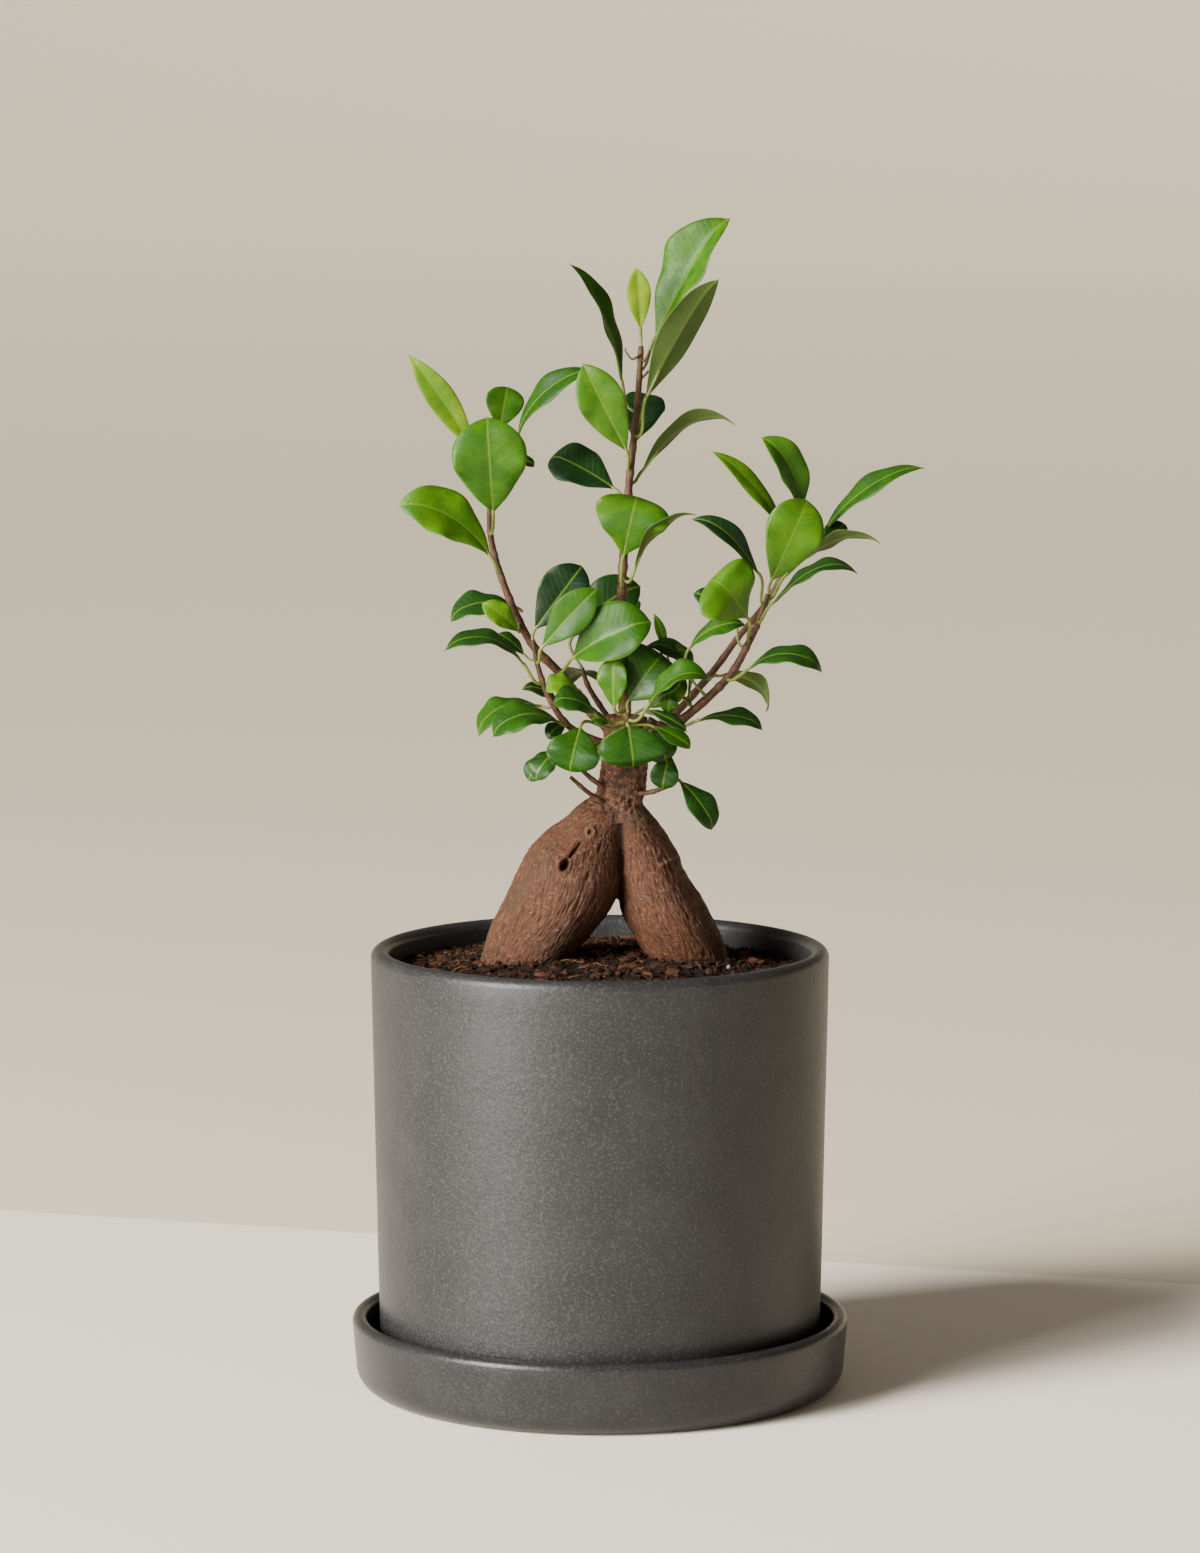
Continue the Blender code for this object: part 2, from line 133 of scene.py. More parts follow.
def maths(tree, operation, *values):
    made = addNode(tree, "ShaderNodeMath", {"operation": operation}, dict(enumerate(values)))
    return made.outputs[0]


def times(tree, first, second):
    return maths(tree, "MULTIPLY", first, second)


def fade(tree, value, start, end, low=0.0, high=1.0):
    values = {"Value": value, "From Min": start, "From Max": end, "To Min": low, "To Max": high}
    made = addNode(tree, "ShaderNodeMapRange", {"interpolation_type": "SMOOTHSTEP"}, values)
    return made.outputs["Result"]


def ramp(tree, value, stops):
    made = addNode(tree, "ShaderNodeValToRGB", values={"Fac": value})
    elements = made.color_ramp.elements
    while len(elements) < len(stops):
        elements.new(1)
    for element, (place, colour) in zip(elements, stops):
        element.position = place
        element.color = (*colour, 1)
    return made.outputs["Color"]


def mixColour(tree, share, first, second):
    first, second = ((*value, 1) if isinstance(value, tuple) else value for value in (first, second))
    values = {0: share, 6: first, 7: second}
    return addNode(tree, "ShaderNodeMix", {"data_type": "RGBA"}, values).outputs[2]


def cloud(tree, vector, scale, detail=3.0, rough=0.5):
    values = {"Vector": vector, "Scale": scale, "Detail": detail, "Roughness": rough}
    return addNode(tree, "ShaderNodeTexNoise", values=values).outputs["Fac"]


def objectPlace(tree):
    return tree.nodes.new("ShaderNodeTexCoord").outputs["Object"]


def own(tree, name, output="Fac"):
    return addNode(tree, "ShaderNodeAttribute", {"attribute_name": name}).outputs[output]


def bump(tree, height, strength, distance):
    values = {"Height": height, "Strength": strength, "Distance": distance}
    return addNode(tree, "ShaderNodeBump", values=values).outputs["Normal"]


# small tools for meshes
def circle(radius, count):
    angles = [turn * i / count for i in range(count)]
    return [(radius * math.cos(angle), radius * math.sin(angle)) for angle in angles]


def buildPiece(name, points, faces, finishes, slots=None, marks=None, smooth=True):
    # points in millimetres; marks are named numbers, one for each point
    mesh = bpy.data.meshes.new(name)
    mesh.from_pydata([Vector(point) * mm for point in points], [], faces)
    for finish in finishes:
        mesh.materials.append(finish)
    if slots:
        mesh.polygons.foreach_set("material_index", slots)
    mesh.polygons.foreach_set("use_smooth", [smooth] * len(mesh.polygons))
    for key, values in (marks or {}).items():
        mesh.attributes.new(key, "FLOAT", "POINT").data.foreach_set("value", values)
    mesh.validate()
    mesh.update()
    piece = bpy.data.objects.new(name, mesh)
    bpy.context.collection.objects.link(piece)
    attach(piece, "root")
    return piece


def ringFaces(first, rings, count, closed=False, caps=True):
    # quads between equal rings of points, numbered from first, with filled ends
    faces = []
    for r in range(rings if closed else rings - 1):
        low = first + r * count
        high = first + ((r + 1) % rings) * count
        for i in range(count):
            j = (i + 1) % count
            faces.append((low + i, low + j, high + j, high + i))
    if caps and not closed:
        faces.append(tuple(reversed(range(first, first + count))))
        last = first + (rings - 1) * count
        faces.append(tuple(range(last, last + count)))
    return faces


def smoothLine(points, steps):
    knots = [Vector(point) for point in points]
    knots = [2 * knots[0] - knots[1], *knots, 2 * knots[-1] - knots[-2]]
    line = []
    for a, b, c, d in zip(knots, knots[1:], knots[2:], knots[3:]):
        for i in range(steps):
            t = i / steps
            point = 2 * b + (c - a) * t + (2 * a - 5 * b + 4 * c - d) * t ** 2
            line.append((point + (3 * b - a - 3 * c + d) * t ** 3) / 2)
    line.append(knots[-2])
    return line


def directionsOf(line):
    ends = [line[0], *line, line[-1]]
    return [(after - before).normalized() for before, after in zip(ends, ends[2:])]


def carriedSides(directions, side):
    sides = []
    for direction in directions:
        side = (side - direction * side.dot(direction)).normalized()
        sides.append(side)
    return sides


def tubePoints(line, radii, edges, side=Vector((0.3, 1, 0.1))):
    directions = directionsOf(line)
    points = []
    for point, direction, across, radius in zip(line, directions, carriedSides(directions, side), radii):
        up = across.cross(direction)
        for k in range(edges):
            angle = turn * k / edges
            points.append(point + (across * math.cos(angle) + up * math.sin(angle)) * radius)
    return points


def arc(centreR, centreZ, radius, start, end, steps):
    angles = [math.radians(start + (end - start) * i / steps) for i in range(steps + 1)]
    return [(centreR + radius * math.cos(a), centreZ + radius * math.sin(a)) for a in angles]


# pot and saucer
potPlan = {
    "rimRadius": 82.5, "lowRadius": 79.6, "wall": 6.6, "base": 6.35, "rim": 160.05,
    "floor": 8.0, "corner": 3.0, "drain": 8.0, "segments": 192, "ripple": 0.05,
    "dark": (0.0175, 0.0175, 0.0178), "light": (0.023, 0.0228, 0.023), "speck": (0.055, 0.055, 0.056),
    "roughness": 0.38,
}
saucerPlan = {
    "height": 26.5, "floor": 6.0, "topRadius": 89.8, "lowRadius": 88.4, "wall": 5.4,
    "fillet": 8.0, "segments": 192, "ripple": 0.04,
    "dark": (0.016, 0.0158, 0.016), "light": (0.021, 0.0207, 0.021), "speck": (0.042, 0.042, 0.042),
    "roughness": 0.31,
}


def glazeMaterial(name, plan):
    # matt charcoal glaze: fine pale and dark specks, a faint cloudiness and a slight tooth
    made, tree, shader = newMaterial(name)
    place = objectPlace(tree)
    mottle = cloud(tree, place, 55, 4)
    fine = cloud(tree, place, 1000, 2, 0.7)
    colour = mixColour(tree, fade(tree, mottle, 0.3, 0.7), plan["dark"], plan["light"])
    pale = fade(tree, fine, 0.50, 0.66)
    colour = mixColour(tree, times(tree, pale, 0.5), colour, plan["speck"])
    deep = fade(tree, cloud(tree, place, 1100, 2, 0.6), 0.38, 0.28)
    colour = mixColour(tree, times(tree, deep, 0.6), colour, (0.012, 0.011, 0.010))
    rough = fade(tree, fine, 0.25, 0.75, plan["roughness"] - 0.06, plan["roughness"] + 0.10)
    tooth = maths(tree, "ADD", fine, times(tree, cloud(tree, place, 320, 3), 1.5))
    fillInputs(tree, shader, {"Base Color": colour, "Roughness": rough, "Specular IOR Level": 0.32,
                              "Normal": bump(tree, tooth, 0.30, 0.00025)})
    return made


def turnedPiece(name, profile, closed, plan, finish):
    count = plan["segments"]
    points = []
    for radius, height in profile:
        for i in range(count):
            angle = turn * i / count
            spot = Vector((math.cos(angle) * 2.2, math.sin(angle) * 2.2, height * 0.05))
            r = radius + plan["ripple"] * noise.noise(spot) * 2
            points.append((r * math.cos(angle), r * math.sin(angle), height))
    faces = ringFaces(0, len(profile), count, closed)
    return buildPiece(name, points, faces, [finish])


def steps(low, high, count):
    # evenly spaced profile points from low to high, both (r, z), without the ends
    return [tuple(a + (b - a) * i / count for a, b in zip(low, high)) for i in range(1, count)]


def makePot():
    p = potPlan
    lip = p["wall"] / 2
    corner = p["lowRadius"] - p["corner"]
    innerLow = p["lowRadius"] - p["wall"]
    floorTop = p["base"] + p["floor"]
    foot = arc(corner, p["base"] + p["corner"], p["corner"], -90, 0, 6)
    rim = arc(p["rimRadius"] - lip, p["rim"] - lip, lip, 0, 180, 14)
    heel = arc(innerLow - 4, floorTop + 4, 4, 0, -90, 4)
    profile = [(p["drain"], p["base"]), *foot, *steps(foot[-1], rim[0], 24), *rim]
    profile += [*steps(rim[-1], heel[0], 12), *heel, (p["drain"], floorTop)]
    piece = turnedPiece("pot_glazed", profile, True, p, glazeMaterial("charcoalGlaze", p))
    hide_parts("pot")


def makeSaucer():
    p = saucerPlan
    lip = p["wall"] / 2
    foot = p["lowRadius"] - p["fillet"]
    innerLow = p["lowRadius"] - p["wall"]
    fillet = arc(foot, p["fillet"], p["fillet"], -75, 0, 12)
    rim = arc(p["topRadius"] - lip, p["height"] - lip, lip, 0, 180, 14)
    profile = [(foot, 0), *fillet, *steps(fillet[-1], rim[0], 6), *rim]
    profile += [*arc(innerLow - 3, p["floor"] + 3, 3, 0, -90, 6), (40, p["floor"])]
    finish = glazeMaterial("saucerGlaze", p)
    piece = turnedPiece("saucer_glazed", profile, False, p, finish)
    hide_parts("saucer")


makePot()
makeSaucer()
print("pot and saucer are turned")


# soil
soilPlan = {
    "edge": 151.0, "mound": 5.0, "moundInner": 38, "moundOuter": 72, "radius": 75.2, "bottom": 14.8,
    "segments": 288, "rows": 84, "seed": 11,
    "fibres": 260, "fibreLong": (3, 10), "fibreThick": (0.10, 0.24),
    "rootFeet": ((-27.3, -4, 15.0, 13.5), (31.8, 3, 14.2, 14)),    # middle and half widths
    "peat": ((0.0, (0.003, 0.0016, 0.0014)), (0.45, (0.010, 0.0048, 0.0027)),
             (0.75, (0.027, 0.0120, 0.0061)), (1.0, (0.057, 0.0280, 0.0136))),
    "straw": ((0.0, (0.024, 0.0104, 0.0048)), (0.6, (0.104, 0.0480, 0.0204)),
              (1.0, (0.214, 0.1200, 0.0578))),
}
# loose bits on the soil: a bit is squared off when blocky is under 1
loosePlan = {
    "soil_crumbs": {
        "count": 2600, "long": (0.45, 1.5), "wide": (0.5, 0.9), "thick": (0.4, 0.8), "blocky": 1.0,
        "finish": "soilCrumbs", "tones": ((0.0, (0.004, 0.0024, 0.0014)), (0.5, (0.014, 0.0072, 0.0034)),
                                          (0.72, (0.043, 0.0176, 0.0082)), (1.0, (0.123, 0.0600, 0.0292)))},
    "soil_bark_chips": {
        "count": 360, "long": (1.5, 3.6), "wide": (0.35, 0.7), "thick": (0.2, 0.42), "blocky": 0.7,
        "finish": "barkChips", "tones": ((0.0, (0.009, 0.0032, 0.0020)), (0.45, (0.028, 0.0112, 0.0048)),
                                         (0.7, (0.081, 0.0296, 0.0122)), (1.0, (0.171, 0.0760, 0.0340)))},
    "soil_pale_grains": {
        "count": 24, "long": (0.5, 1.2), "wide": (0.7, 1.0), "thick": (0.6, 0.9), "blocky": 0.9,
        "finish": "paleGrains", "tones": ((0.0, (0.142, 0.1080, 0.0782)), (1.0, (0.294, 0.2320, 0.1700)))},
}


def soilHeight(x, y):
    p = soilPlan
    reach = (math.hypot(x, y) - p["moundInner"]) / (p["moundOuter"] - p["moundInner"])
    reach = min(1, max(0, reach))
    rise = p["mound"] * (1 - reach * reach * (3 - 2 * reach))
    uneven = 0.6 * math.sin(0.11 * x + 0.4) * math.cos(0.13 * y - 0.7)
    clods = 1.1 * noise.noise((x * 0.16, y * 0.16, 3)) + 0.7 * noise.noise((x * 0.5, y * 0.5, 9))
    return p["edge"] + rise + uneven + clods


def soilMaterial(name, stops, roughness=0.95):
    made, tree, shader = newMaterial(name)
    place = objectPlace(tree)
    grain = cloud(tree, place, 900, 4, 0.7)
    blend = times(tree, maths(tree, "ADD", grain, own(tree, "tint")), 0.5)
    fillInputs(tree, shader, {"Base Color": ramp(tree, blend, stops), "Roughness": roughness,
                              "Specular IOR Level": 0.2, "Normal": bump(tree, grain, 0.8, 0.0005)})
    return made


def ballCorners():
    # the twelve corners of a twenty-sided ball
    golden = (1 + 5 ** 0.5) / 2
    corners = []
    for a in (-1, 1):
        for b in (-golden, golden):
            corners += [Vector((0, a, b)), Vector((a, b, 0)), Vector((b, 0, a))]
    return corners


def pebble(centre, size, rng, blocky):
    # a rough lump from the ball, squared off when blocky is under 1
    spin = Matrix.Rotation(rng.uniform(0, turn), 3, "Z") @ Matrix.Rotation(rng.uniform(-0.7, 0.7), 3, "X")
    points = []
    for corner in ballCorners():
        unit = corner.normalized()
        unit = Vector([math.copysign(abs(c) ** blocky, c) for c in unit])
        jitter = rng.uniform(0.75, 1.2)
        points.append(spin @ Vector([c * s * jitter for c, s in zip(unit, size)]) + centre)
    return points


def pebbleFaces():
    # the twenty faces are the triples of corners that lie nearest to each other
    corners = ballCorners()
    near = 2.1    # just over the length of an edge
    faces = []
    for i, j, k in combinations(range(12), 3):
        a, b, c = corners[i], corners[j], corners[k]
        if max((a - b).length, (b - c).length, (a - c).length) < near:
            outward = (b - a).cross(c - a).dot(a + b + c) > 0
            faces.append((i, j, k) if outward else (i, k, j))
    return faces


def underRoot(x, y, margin=0):
    for middleX, middleY, halfX, halfY in soilPlan["rootFeet"]:
        if math.hypot((x - middleX) / (halfX - margin), (y - middleY) / (halfY - margin)) < 1:
            return True
    return False


def scatterSpot(rng, radius):
    while True:
        angle = rng.uniform(0, turn)
        r = radius * math.sqrt(rng.random())
        x, y = r * math.cos(angle), r * math.sin(angle)
        if not underRoot(x, y, 1):
            return x, y


def scatterPebbles(name, plan, rng):
    shape = pebbleFaces()
    points, faces, tints = [], [], []
    for _ in range(plan["count"]):
        x, y = scatterSpot(rng, soilPlan["radius"] - 1.5)
        big = rng.uniform(*plan["long"])
        size = (big, big * rng.uniform(*plan["wide"]), big * rng.uniform(*plan["thick"]))
        centre = Vector((x, y, soilHeight(x, y) + size[2] * rng.uniform(0.0, 0.7)))
        first = len(points)
        points += pebble(centre, size, rng, plan["blocky"])
        faces += [tuple(first + corner for corner in face) for face in shape]
        tints += [rng.random()] * 12
    finish = soilMaterial(plan["finish"], plan["tones"])
    buildPiece(name, points, faces, [finish], marks={"tint": tints}, smooth=False)


def makeSoilTop():
    p = soilPlan
    profile = [(p["radius"] - 5, p["bottom"]), (p["radius"] - 3, p["bottom"] + 5)]
    profile.append((p["radius"], p["edge"] - 3))
    points = [(x, y, height) for radius, height in profile for x, y in circle(radius, p["segments"])]
    for row in range(p["rows"]):
        ring = circle(p["radius"] * (1 - row / p["rows"]), p["segments"])
        points += [(x, y, soilHeight(x, y)) for x, y in ring]
    faces = ringFaces(0, len(profile) + p["rows"], p["segments"])
    tints = [0.5 + 0.5 * noise.noise(Vector(point) * 0.3) for point in points]
    earth = soilMaterial("pottingMix", p["peat"])
    piece = buildPiece("soil_top", points, faces, [earth], marks={"tint": tints})
    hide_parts("soil")


def layFibres(rng):
    p = soilPlan
    knots, edges = 6, 4
    points, faces, tints = [], [], []
    for _ in range(p["fibres"]):
        x, y = scatterSpot(rng, p["radius"] - 6)
        heading = rng.uniform(0, turn)
        long = rng.uniform(*p["fibreLong"])
        line = []
        for s in range(knots):
            heading += rng.uniform(-0.4, 0.4)
            x += math.cos(heading) * long / knots
            y += math.sin(heading) * long / knots
            lift = 0.5 + 0.8 * math.sin(math.pi * s / (knots - 1)) * rng.random()
            line.append(Vector((x, y, soilHeight(x, y) + lift)))
        thick = rng.uniform(*p["fibreThick"])
        faces += ringFaces(len(points), knots, edges)
        points += tubePoints(line, [thick] * knots, edges)
        tints += [rng.random()] * (knots * edges)
    finish = soilMaterial("soilFibres", p["straw"], 0.8)
    buildPiece("soil_fibres", points, faces, [finish], marks={"tint": tints})


def makeSoil():
    rng = random.Random(soilPlan["seed"])
    makeSoilTop()
    for name, plan in loosePlan.items():
        scatterPebbles(name, plan, rng)
    layFibres(rng)


makeSoil()
print("soil, chips and fibres are laid")


# trunk: cut stump over two swollen roots, grown together
trunkPlan = {
    # level rings: middle x, y, z, then half widths in x and y
    "neck": [(4.5, -1, 206, 8.5, 8.5), (6.0, 0, 212, 9.2, 8.8), (7.6, 0, 217, 8.9, 8.6),
             (8.6, 0, 224, 8.3, 8.2), (9.3, 0, 234, 8.0, 8.0), (9.6, 0, 242.5, 8.0, 8.0),
             (9.6, 0, 244, 6.8, 6.8)],
    "leftRoot": [(-38, -4, 120, 4, 4), (-36, -4, 132, 8, 8), (-32, -4, 146, 12.5, 12),
                 (-27.3, -4, 156, 15.5, 14), (-24, -3, 161, 17.2, 15), (-20, -3, 167.5, 18.9, 16),
                 (-15.3, -3, 175, 19.6, 16.5), (-12, -3, 183.5, 19.7, 16.5), (-10.2, -2, 191, 18.2, 16),
                 (-8.4, -2, 196.5, 16.4, 15), (-5.5, -1, 202, 14.2, 13), (-2.2, -1, 206, 12, 11),
                 (1.5, 0, 211, 9.6, 9), (5, 0, 216, 6.5, 6.5)],
    "rightRoot": [(43, 4, 120, 4, 4), (41, 4, 132, 7.5, 8), (36.5, 3, 146, 11.5, 12),
                  (31.8, 3, 156, 14.6, 14.5), (28, 2, 164.3, 15.9, 15.5), (24.3, 2, 171, 16, 16),
                  (21.3, 2, 178.5, 14.3, 15), (19, 2, 185, 12.6, 14), (16.4, 1, 193.5, 11, 12.5),
                  (13.6, 1, 200.5, 9.8, 11), (11.8, 0, 206, 8, 9.5), (10, 0, 212, 5.2, 6.5)],
    "segments": 64, "voxel": 0.95,
    "fibreRelief": 0.44, "wrinkleRelief": 0.10, "lumpRelief": 0.7, "scaleRelief": 0.8,
    "hole": {"x": -12.6, "z": 192.3, "wide": 1.3, "tall": 2.0, "lean": 25, "depth": 4.0},
    "cleft": {"x": -9.3, "z": 197.0, "wide": 0.55, "tall": 4.2, "lean": 38, "depth": 1.6},
    "knot": {"x": -3.4, "z": 203.4, "radius": 2.0, "rise": 0.8},
    "scar": {"from": (21.5, 190.8), "to": (31.5, 195.2), "wide": 0.6, "rise": 0.6},
    "seamX": 7.6,
}


def ringAt(stations, z):
    for low, high in zip(stations, stations[1:]):
        if low[2] <= z <= high[2]:
            share = (z - low[2]) / (high[2] - low[2])
            return [a + (b - a) * share for a, b in zip(low, high)]
    return stations[0] if z < stations[0][2] else stations[-1]


def levelRings(stations, segments):
    line = smoothLine([station[:3] for station in stations], 4)
    halves = smoothLine([(station[3], station[4], 0) for station in stations], 4)
    points = []
    for middle, half in zip(line, halves):
        for i in range(segments):
            angle = turn * i / segments
            flute = 1 + 0.03 * math.sin(3 * angle + 0.07 * middle.z)
            x = middle.x + half.x * flute * math.cos(angle)
            points.append((x, middle.y + half.y * flute * math.sin(angle), middle.z))
    return points, len(line)


def besideTrunk(point):
    # the part whose surface is nearest, the angle round it and its mean radius
    best = None
    for key in ("neck", "leftRoot", "rightRoot"):
        x, y, z, halfX, halfY = ringAt(trunkPlan[key], point.z)
        across, back = (point.x - x) / halfX, (point.y - y) / halfY
        off = math.hypot(across, back) + abs(point.z - z) / 8
        if best is None or off < best[0]:
            best = (off, key, math.atan2(back, across), (halfX + halfY) / 2)
    return best[1:]


def leanedOff(point, mark):
    # how far off the middle of a leaning oval mark, 1 on its edge
    lean = math.radians(mark["lean"])
    dx, dz = point.x - mark["x"], point.z - mark["z"]
    across = dx * math.cos(lean) - dz * math.sin(lean)
    along = dx * math.sin(lean) + dz * math.cos(lean)
    return math.hypot(across / mark["wide"], along / mark["tall"])


def barkEdge(x):
    # height where the rough stump bark gives way to the smoother roots
    return 212.5 - 6.5 * max(0, 1 - abs(x - 6) / 11)


def barkRelief(point):
    # returns how far the surface moves out, and the marks that colour it
    p = trunkPlan
    part, angle, radius = besideTrunk(point)
    fibre = Vector((math.cos(angle) * radius, math.sin(angle) * radius, point.z * 0.12))
    wander = noise.noise(point * 0.12) * 1.5
    strand = noise.noise(Vector((fibre.x * 1.0, fibre.y * 1.0, point.z * 0.085 + wander)))
    strand = 1 - abs(strand) * 2.6
    fineStrand = noise.noise(fibre * 1.5)
    wrinkle = noise.noise(Vector((fibre.x * 0.12, fibre.y * 0.12, point.z * 0.75 + wander)))
    lump = noise.noise(point * 0.055) + 0.5 * noise.noise(point * 0.13)
    scaly = noise.noise(point * 0.42) + 0.6 * noise.noise(point * 1.05)
    edge = barkEdge(point.x) + 1.6 * noise.noise(point * 0.35)
    rough = min(1, max(0, (point.z - edge) / 1.4))
    smoothPart = p["fibreRelief"] * (0.65 * strand + 0.35 * fineStrand) + p["wrinkleRelief"] * wrinkle
    roughPart = p["scaleRelief"] * scaly - 0.15
    out = smoothPart * (1 - rough) + roughPart * rough + p["lumpRelief"] * lump
    # relief: how high the surface stands among the strands and scales; the bark material paints shade where
    # it is low
    relief = 0.5 + 0.5 * (0.7 * strand + 0.3 * wrinkle) * (1 - rough) + 0.45 * scaly * rough
    # painted shade: how dark the bark is painted in the hole, the cleft, the knot's middle and the crease
    # between the roots
    hollowShade = 0.0
    pale = 0.0
    if point.y < 0:
        hole = math.exp(-leanedOff(point, p["hole"]) ** 4)
        cleft = math.exp(-leanedOff(point, p["cleft"]) ** 4)
        out -= p["hole"]["depth"] * hole + p["cleft"]["depth"] * cleft
        rim = math.exp(-((leanedOff(point, p["hole"]) - 1.55) / 0.35) ** 2)
        out += 0.5 * rim
        hollowShade = max(hole, cleft * 0.8)
        knot = p["knot"]
        off = math.hypot(point.x - knot["x"], point.z - knot["z"]) / knot["radius"]
        ring = math.exp(-((off - 0.72) / 0.26) ** 2)
        out += knot["rise"] * ring
        pale = 0.5 * ring
        hollowShade = max(hollowShade, 0.6 * math.exp(-(off / 0.3) ** 2))
        start, end = (Vector((*spot, 0)) for spot in (p["scar"]["from"], p["scar"]["to"]))
        spot = Vector((point.x, point.z, 0))
        share = min(1, max(0, (spot - start).dot(end - start) / (end - start).length_squared))
        gap = (spot - start.lerp(end, share)).length / p["scar"]["wide"]
        band = math.exp(-gap ** 2)
        out += p["scar"]["rise"] * band
        pale = max(pale, 0.25 * band)
        # the crease where the two roots meet is pressed in and darkened with painted shade
        if 172 < point.z < 206:
            crease = math.exp(-((point.x - p["seamX"]) / 0.9) ** 2)
            out -= 0.8 * crease
            hollowShade = max(hollowShade, 0.7 * crease)
    return out, fibre, min(1, max(0, relief)), rough, hollowShade, pale


def barkMaterial():
    # reddish-brown fibrous root bark, olive patches, pale short cross marks and a darker scaly stump, with
    # painted shade in the grooves and hollows
    made, tree, shader = newMaterial("trunkBark")
    place = objectPlace(tree)
    fibre = own(tree, "fibre", "Vector")
    strand = cloud(tree, fibre, 2.2, 5, 0.65)
    streak = cloud(tree, fibre, 0.55, 3, 0.5)
    root = ramp(tree, strand, ((0.30, (0.008, 0.0024, 0.0011)), (0.44, (0.052, 0.018, 0.0075)),
                               (0.56, (0.105, 0.040, 0.0150)), (0.72, (0.260, 0.122, 0.052))))
    warm = fade(tree, streak, 0.42, 0.62)
    root = mixColour(tree, times(tree, warm, 0.45), root, (0.082, 0.0227, 0.0092))
    patch = fade(tree, cloud(tree, place, 42, 3, 0.55), 0.50, 0.66)
    root = mixColour(tree, times(tree, patch, 0.55), root, (0.048, 0.0270, 0.0088))
    stump = ramp(tree, cloud(tree, place, 620, 5, 0.7), ((0.30, (0.014, 0.0045, 0.002)),
                 (0.50, (0.085, 0.032, 0.014)), (0.70, (0.200, 0.092, 0.040))))
    colour = mixColour(tree, own(tree, "rough"), root, stump)
    flat = addNode(tree, "ShaderNodeMapping", values={"Vector": fibre, "Scale": (0.22, 0.22, 9.0)})
    dash = fade(tree, cloud(tree, flat.outputs[0], 1.5, 2, 0.5), 0.62, 0.68)
    colour = mixColour(tree, times(tree, dash, 0.7), colour, (0.163, 0.0907, 0.0487))
    # painted shade: the bark is darkened where its relief is low, in the grooves between strands and scales
    low = fade(tree, own(tree, "relief"), 0.55, 0.15)
    colour = mixColour(tree, times(tree, low, 0.8), colour, (0.014, 0.0049, 0.0021))
    colour = mixColour(tree, own(tree, "pale"), colour, (0.169, 0.0864, 0.0420))
    # painted shade: near-black in the hole, the cleft, the knot's middle and the crease between the roots
    colour = mixColour(tree, own(tree, "hollowShade"), colour, (0.004, 0.0016, 0.0008))
    grain = maths(tree, "ADD", strand, times(tree, cloud(tree, place, 1300, 3, 0.6), 0.5))
    fillInputs(tree, shader, {"Base Color": colour, "Roughness": fade(tree, strand, 0.3, 0.7, 0.74, 0.58),
                              "Specular IOR Level": 0.32, "Normal": bump(tree, grain, 1.0, 0.0008)})
    return made


def makeTrunk():
    points, faces = [], []
    for key in ("neck", "leftRoot", "rightRoot"):
        ring, rows = levelRings(trunkPlan[key], trunkPlan["segments"])
        faces += ringFaces(len(points), rows, trunkPlan["segments"])
        points += ring
    piece = buildPiece("trunk_bark_surface", points, faces, [barkMaterial()])
    remesh = piece.modifiers.new("join", "REMESH")
    remesh.mode = "VOXEL"
    remesh.voxel_size = trunkPlan["voxel"] * mm
    smoother = piece.modifiers.new("soften", "SMOOTH")
    smoother.factor = 0.5
    smoother.iterations = 3
    finer = piece.modifiers.new("finer", "SUBSURF")
    finer.levels = 1
    finer.render_levels = 1
    state = bpy.context.evaluated_depsgraph_get()
    mesh = bpy.data.meshes.new_from_object(piece.evaluated_get(state))
    piece.modifiers.clear()
    piece.data = mesh
    normals = [vert.normal.copy() for vert in mesh.vertices]
    marks = {"relief": [], "rough": [], "hollowShade": [], "pale": []}
    fibres = []
    for vert, normal in zip(mesh.vertices, normals):
        point = vert.co / mm
        out, fibre, relief, rough, hollowShade, pale = barkRelief(point)
        vert.co += normal * out * mm
        fibres.extend(fibre)
        for key, value in zip(marks, (relief, rough, hollowShade, pale)):
            marks[key].append(value)
    for key, values in marks.items():
        mesh.attributes.new(key, "FLOAT", "POINT").data.foreach_set("value", values)
    mesh.attributes.new("fibre", "FLOAT_VECTOR", "POINT").data.foreach_set("vector", fibres)
    mesh.polygons.foreach_set("use_smooth", [True] * len(mesh.polygons))
    mesh.update()
    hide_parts("trunk")


makeTrunk()
print("trunk is grown")


